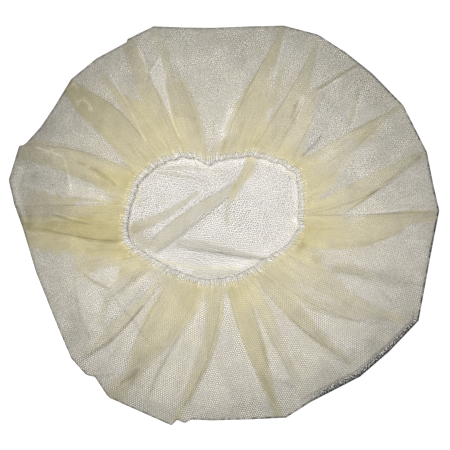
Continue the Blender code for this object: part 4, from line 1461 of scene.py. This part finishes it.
def cloth_material(middle):
    shader = Shader("nonwoven_cloth")
    weave = shader.add("ShaderNodeAttribute", {}, output=1, attribute_name="weave")
    tones = shader.add("ShaderNodeAttribute", {}, attribute_name="tone")
    tone, shade, edge = shader.parts("ShaderNodeSeparateColor", tones)
    place = shader.vector("SUBTRACT", shader.add("ShaderNodeTexCoord", {}, output=3), (*middle, 0.0))

    thin = shader.remap(tone, 0.05, 0.75, 1.0, 0.28)
    lower = shader.fade(place, *DOTS_LOWER)
    patchy = shader.remap(shader.noise(weave, 55.0), 0.38, 0.62, 0.35, 1.0)
    strength = dot_strength(shader, place, tone, thin, lower, patchy)
    strength = shader.product(strength, shader.remap(edge, 0.0, 0.4, 1.0, 0.2))
    warp = shader.product(shader.math("SUBTRACT", 1.4, lower), DOT_WARP)
    dots = shader.product(dot_pattern(shader, weave, warp), strength)
    dot_share = DOT_ROWS * math.pi * DOT_RADIUS**2
    fibres = shader.noise(weave, 560.0, 0.0)
    grain = shader.product(shader.remap(fibres, 0.25, 0.75, -0.08, 0.08), thin)

    flat = noise_offset(shader, shader.scale(weave, 1.0 / FACET_LENGTH), 1.5, 0.3)
    facets, facet_lines = facet_pattern(shader, flat)
    streaks, streak_lines = streak_pattern(shader, place)
    streaked = (shader.product(streaks, STREAK_LIGHT), shader.product(streak_lines, STREAK_LINE_LIGHT))
    skirt = shader.remap(tone, 0.15, 0.25, 0.0, 1.0)
    faint = shader.remap(shader.noise(weave, 45.0), 0.45, 0.62, 0.0, 1.0)
    # The light painted into the cloth's colour: painted light and shade from the shade attribute, on
    # crumpled facets, their lines and the streaks; the dots, grain and patchiness are its own
    light = shader.total(
        shade,
        CLOTH_LIGHT,
        shader.product(dots, DOT_DEPTH),
        shader.product(strength, -DOT_DEPTH * dot_share),
        grain,
        shader.product(shader.total(patchy, -PATCHY_MEAN), PATCHY_LIGHT),
        shader.product(facets, FACET_LIGHT),
        shader.product(facet_lines, faint, FACET_LINE_LIGHT),
        shader.product(shader.total(*streaked), skirt),
    )
    colour = shader.scale(shader.ramp(tone, CLOTH_COLOURS), light)
    # The painted dark speckle of shade along the outline and in the strip at the lower right, mixed in by
    # the edge attribute
    shade_speckle = shader.ramp(shader.noise(weave, 900.0, 0.0), SHADE_SPECKLE_COLOURS)
    shade_speckle = shader.scale(shade_speckle, shader.total(1.0, shade))
    speckled = {0: shader.product(edge, 0.95), 6: colour, 7: shade_speckle}
    colour = shader.add("ShaderNodeMix", speckled, output=2, data_type="RGBA")

    relief = shader.total(shader.product(fibres, 0.5), dots)
    bump = shader.add("ShaderNodeBump", {"Height": relief, "Strength": 0.15, "Distance": 0.0003})
    surface = shader.add(
        "ShaderNodeBsdfPrincipled",
        {"Base Color": colour, "Roughness": 0.85, "Normal": bump, "Specular IOR Level": 0.25},
    )
    through = shader.add("ShaderNodeBsdfTranslucent", {"Color": colour, "Normal": bump})
    return shader.finish(shader.add("ShaderNodeMixShader", {0: 0.12, 1: surface, 2: through}))


def thread_like_material(name, scale, detail, dark, pale, roughness, strength, depth):
    """Fine threads between two display colours, with a little relief."""
    shader = Shader(name)
    threads = shader.noise(shader.add("ShaderNodeTexCoord", {}, output=3), scale, detail)
    colour = shader.ramp(threads, [(0.3, linear(*dark)), (0.7, linear(*pale))])
    bump = shader.add("ShaderNodeBump", {"Height": threads, "Strength": strength, "Distance": depth})
    inputs = {"Base Color": colour, "Roughness": roughness, "Normal": bump}
    return shader.finish(shader.add("ShaderNodeBsdfPrincipled", inputs))


def elastic_material():
    return thread_like_material(
        "woven_elastic", scale=2600.0, detail=3.0, dark=(196, 192, 178), pale=(232, 230, 222),
        roughness=0.8, strength=0.4, depth=0.0002,
    )


def thread_material():
    return thread_like_material(
        "white_thread", scale=4200.0, detail=2.0, dark=(222, 220, 206), pale=(246, 245, 238),
        roughness=0.6, strength=0.3, depth=0.0001,
    )


def floor_material():
    shader = Shader("pale_floor")
    cloudy = shader.noise(shader.add("ShaderNodeTexCoord", {}, output=3), 6.0)
    colour = shader.ramp(cloudy, [(0.3, (0.80, 0.80, 0.80)), (0.7, (0.82, 0.82, 0.82))])
    glow = {"Emission Color": (1.0, 1.0, 1.0, 1.0), "Emission Strength": 0.5}
    return shader.finish(
        shader.add("ShaderNodeBsdfPrincipled", {"Base Color": colour, "Roughness": 0.9, **glow})
    )


FLOOR_HALF = 3.0
FLOOR_HEIGHT = -0.0003


def build_floor():
    signs = ((-1.0, -1.0), (1.0, -1.0), (1.0, 1.0), (-1.0, 1.0))
    corners = [(x * FLOOR_HALF, y * FLOOR_HALF, FLOOR_HEIGHT) for x, y in signs]
    floor = mesh_piece("floor", np.array(corners), [(0, 1, 2, 3)], floor_material())


# The lamps' places, sizes and powers, and the strength of the light from all round
Lamp = namedtuple("Lamp", "name place size power")
LAMPS = rows_of(
    Lamp,
    ("key", (-0.1, 0.1, 1.2), 0.13, 6.4),
    ("fill", (0.1, -0.24, 1.05), 0.4, 3.4),
)
ROOM_LIGHT = 0.36


def add_light(name, place, size, power):
    light = bpy.data.lights.new(name, "AREA")
    light.size = size
    light.energy = power
    lamp = add_object(name, light)
    lamp.location = place
    lamp.rotation_mode = "QUATERNION"
    lamp.rotation_quaternion = (-lamp.location).to_track_quat("-Z", "Y")


def build_lights():
    world = bpy.data.worlds.new("soft_room")
    world.use_nodes = True
    background = world.node_tree.nodes["Background"]
    background.inputs["Color"].default_value = (1.0, 1.0, 1.0, 1.0)
    background.inputs["Strength"].default_value = ROOM_LIGHT
    bpy.context.scene.world = world
    for lamp in LAMPS:
        add_light(*lamp)
    bpy.context.scene.view_settings.view_transform = "Standard"


# The photo is taken from straight above: a picture this wide at the cap's middle height
PICTURE_WIDTH = 0.360
PICTURE_MIDDLE = 0.0004
CAMERA_LENS = 150.0
CAMERA_SENSOR = 36.0


def build_camera():
    camera = bpy.data.cameras.new("camera")
    camera.sensor_width = CAMERA_SENSOR
    camera.lens = CAMERA_LENS
    eye = add_object("camera", camera)
    distance = PICTURE_WIDTH * CAMERA_LENS / CAMERA_SENSOR
    eye.location = (PICTURE_MIDDLE, 0.0, FOLD_HEIGHT + distance)
    bpy.context.scene.camera = eye


def main():
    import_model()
    middle = opening_middle()
    material = cloth_material(middle)
    cloth = build_cloth(middle, material)
    edge = build_crimped_edge(middle, material)
    elastic = build_elastic(middle)
    thread = build_stitches(middle)
    for piece in (cloth, edge, elastic, thread):
        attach(piece, "root")
    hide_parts("cap_cloth")
    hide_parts("elastic_band")
    build_floor()
    build_lights()
    build_camera()


main()
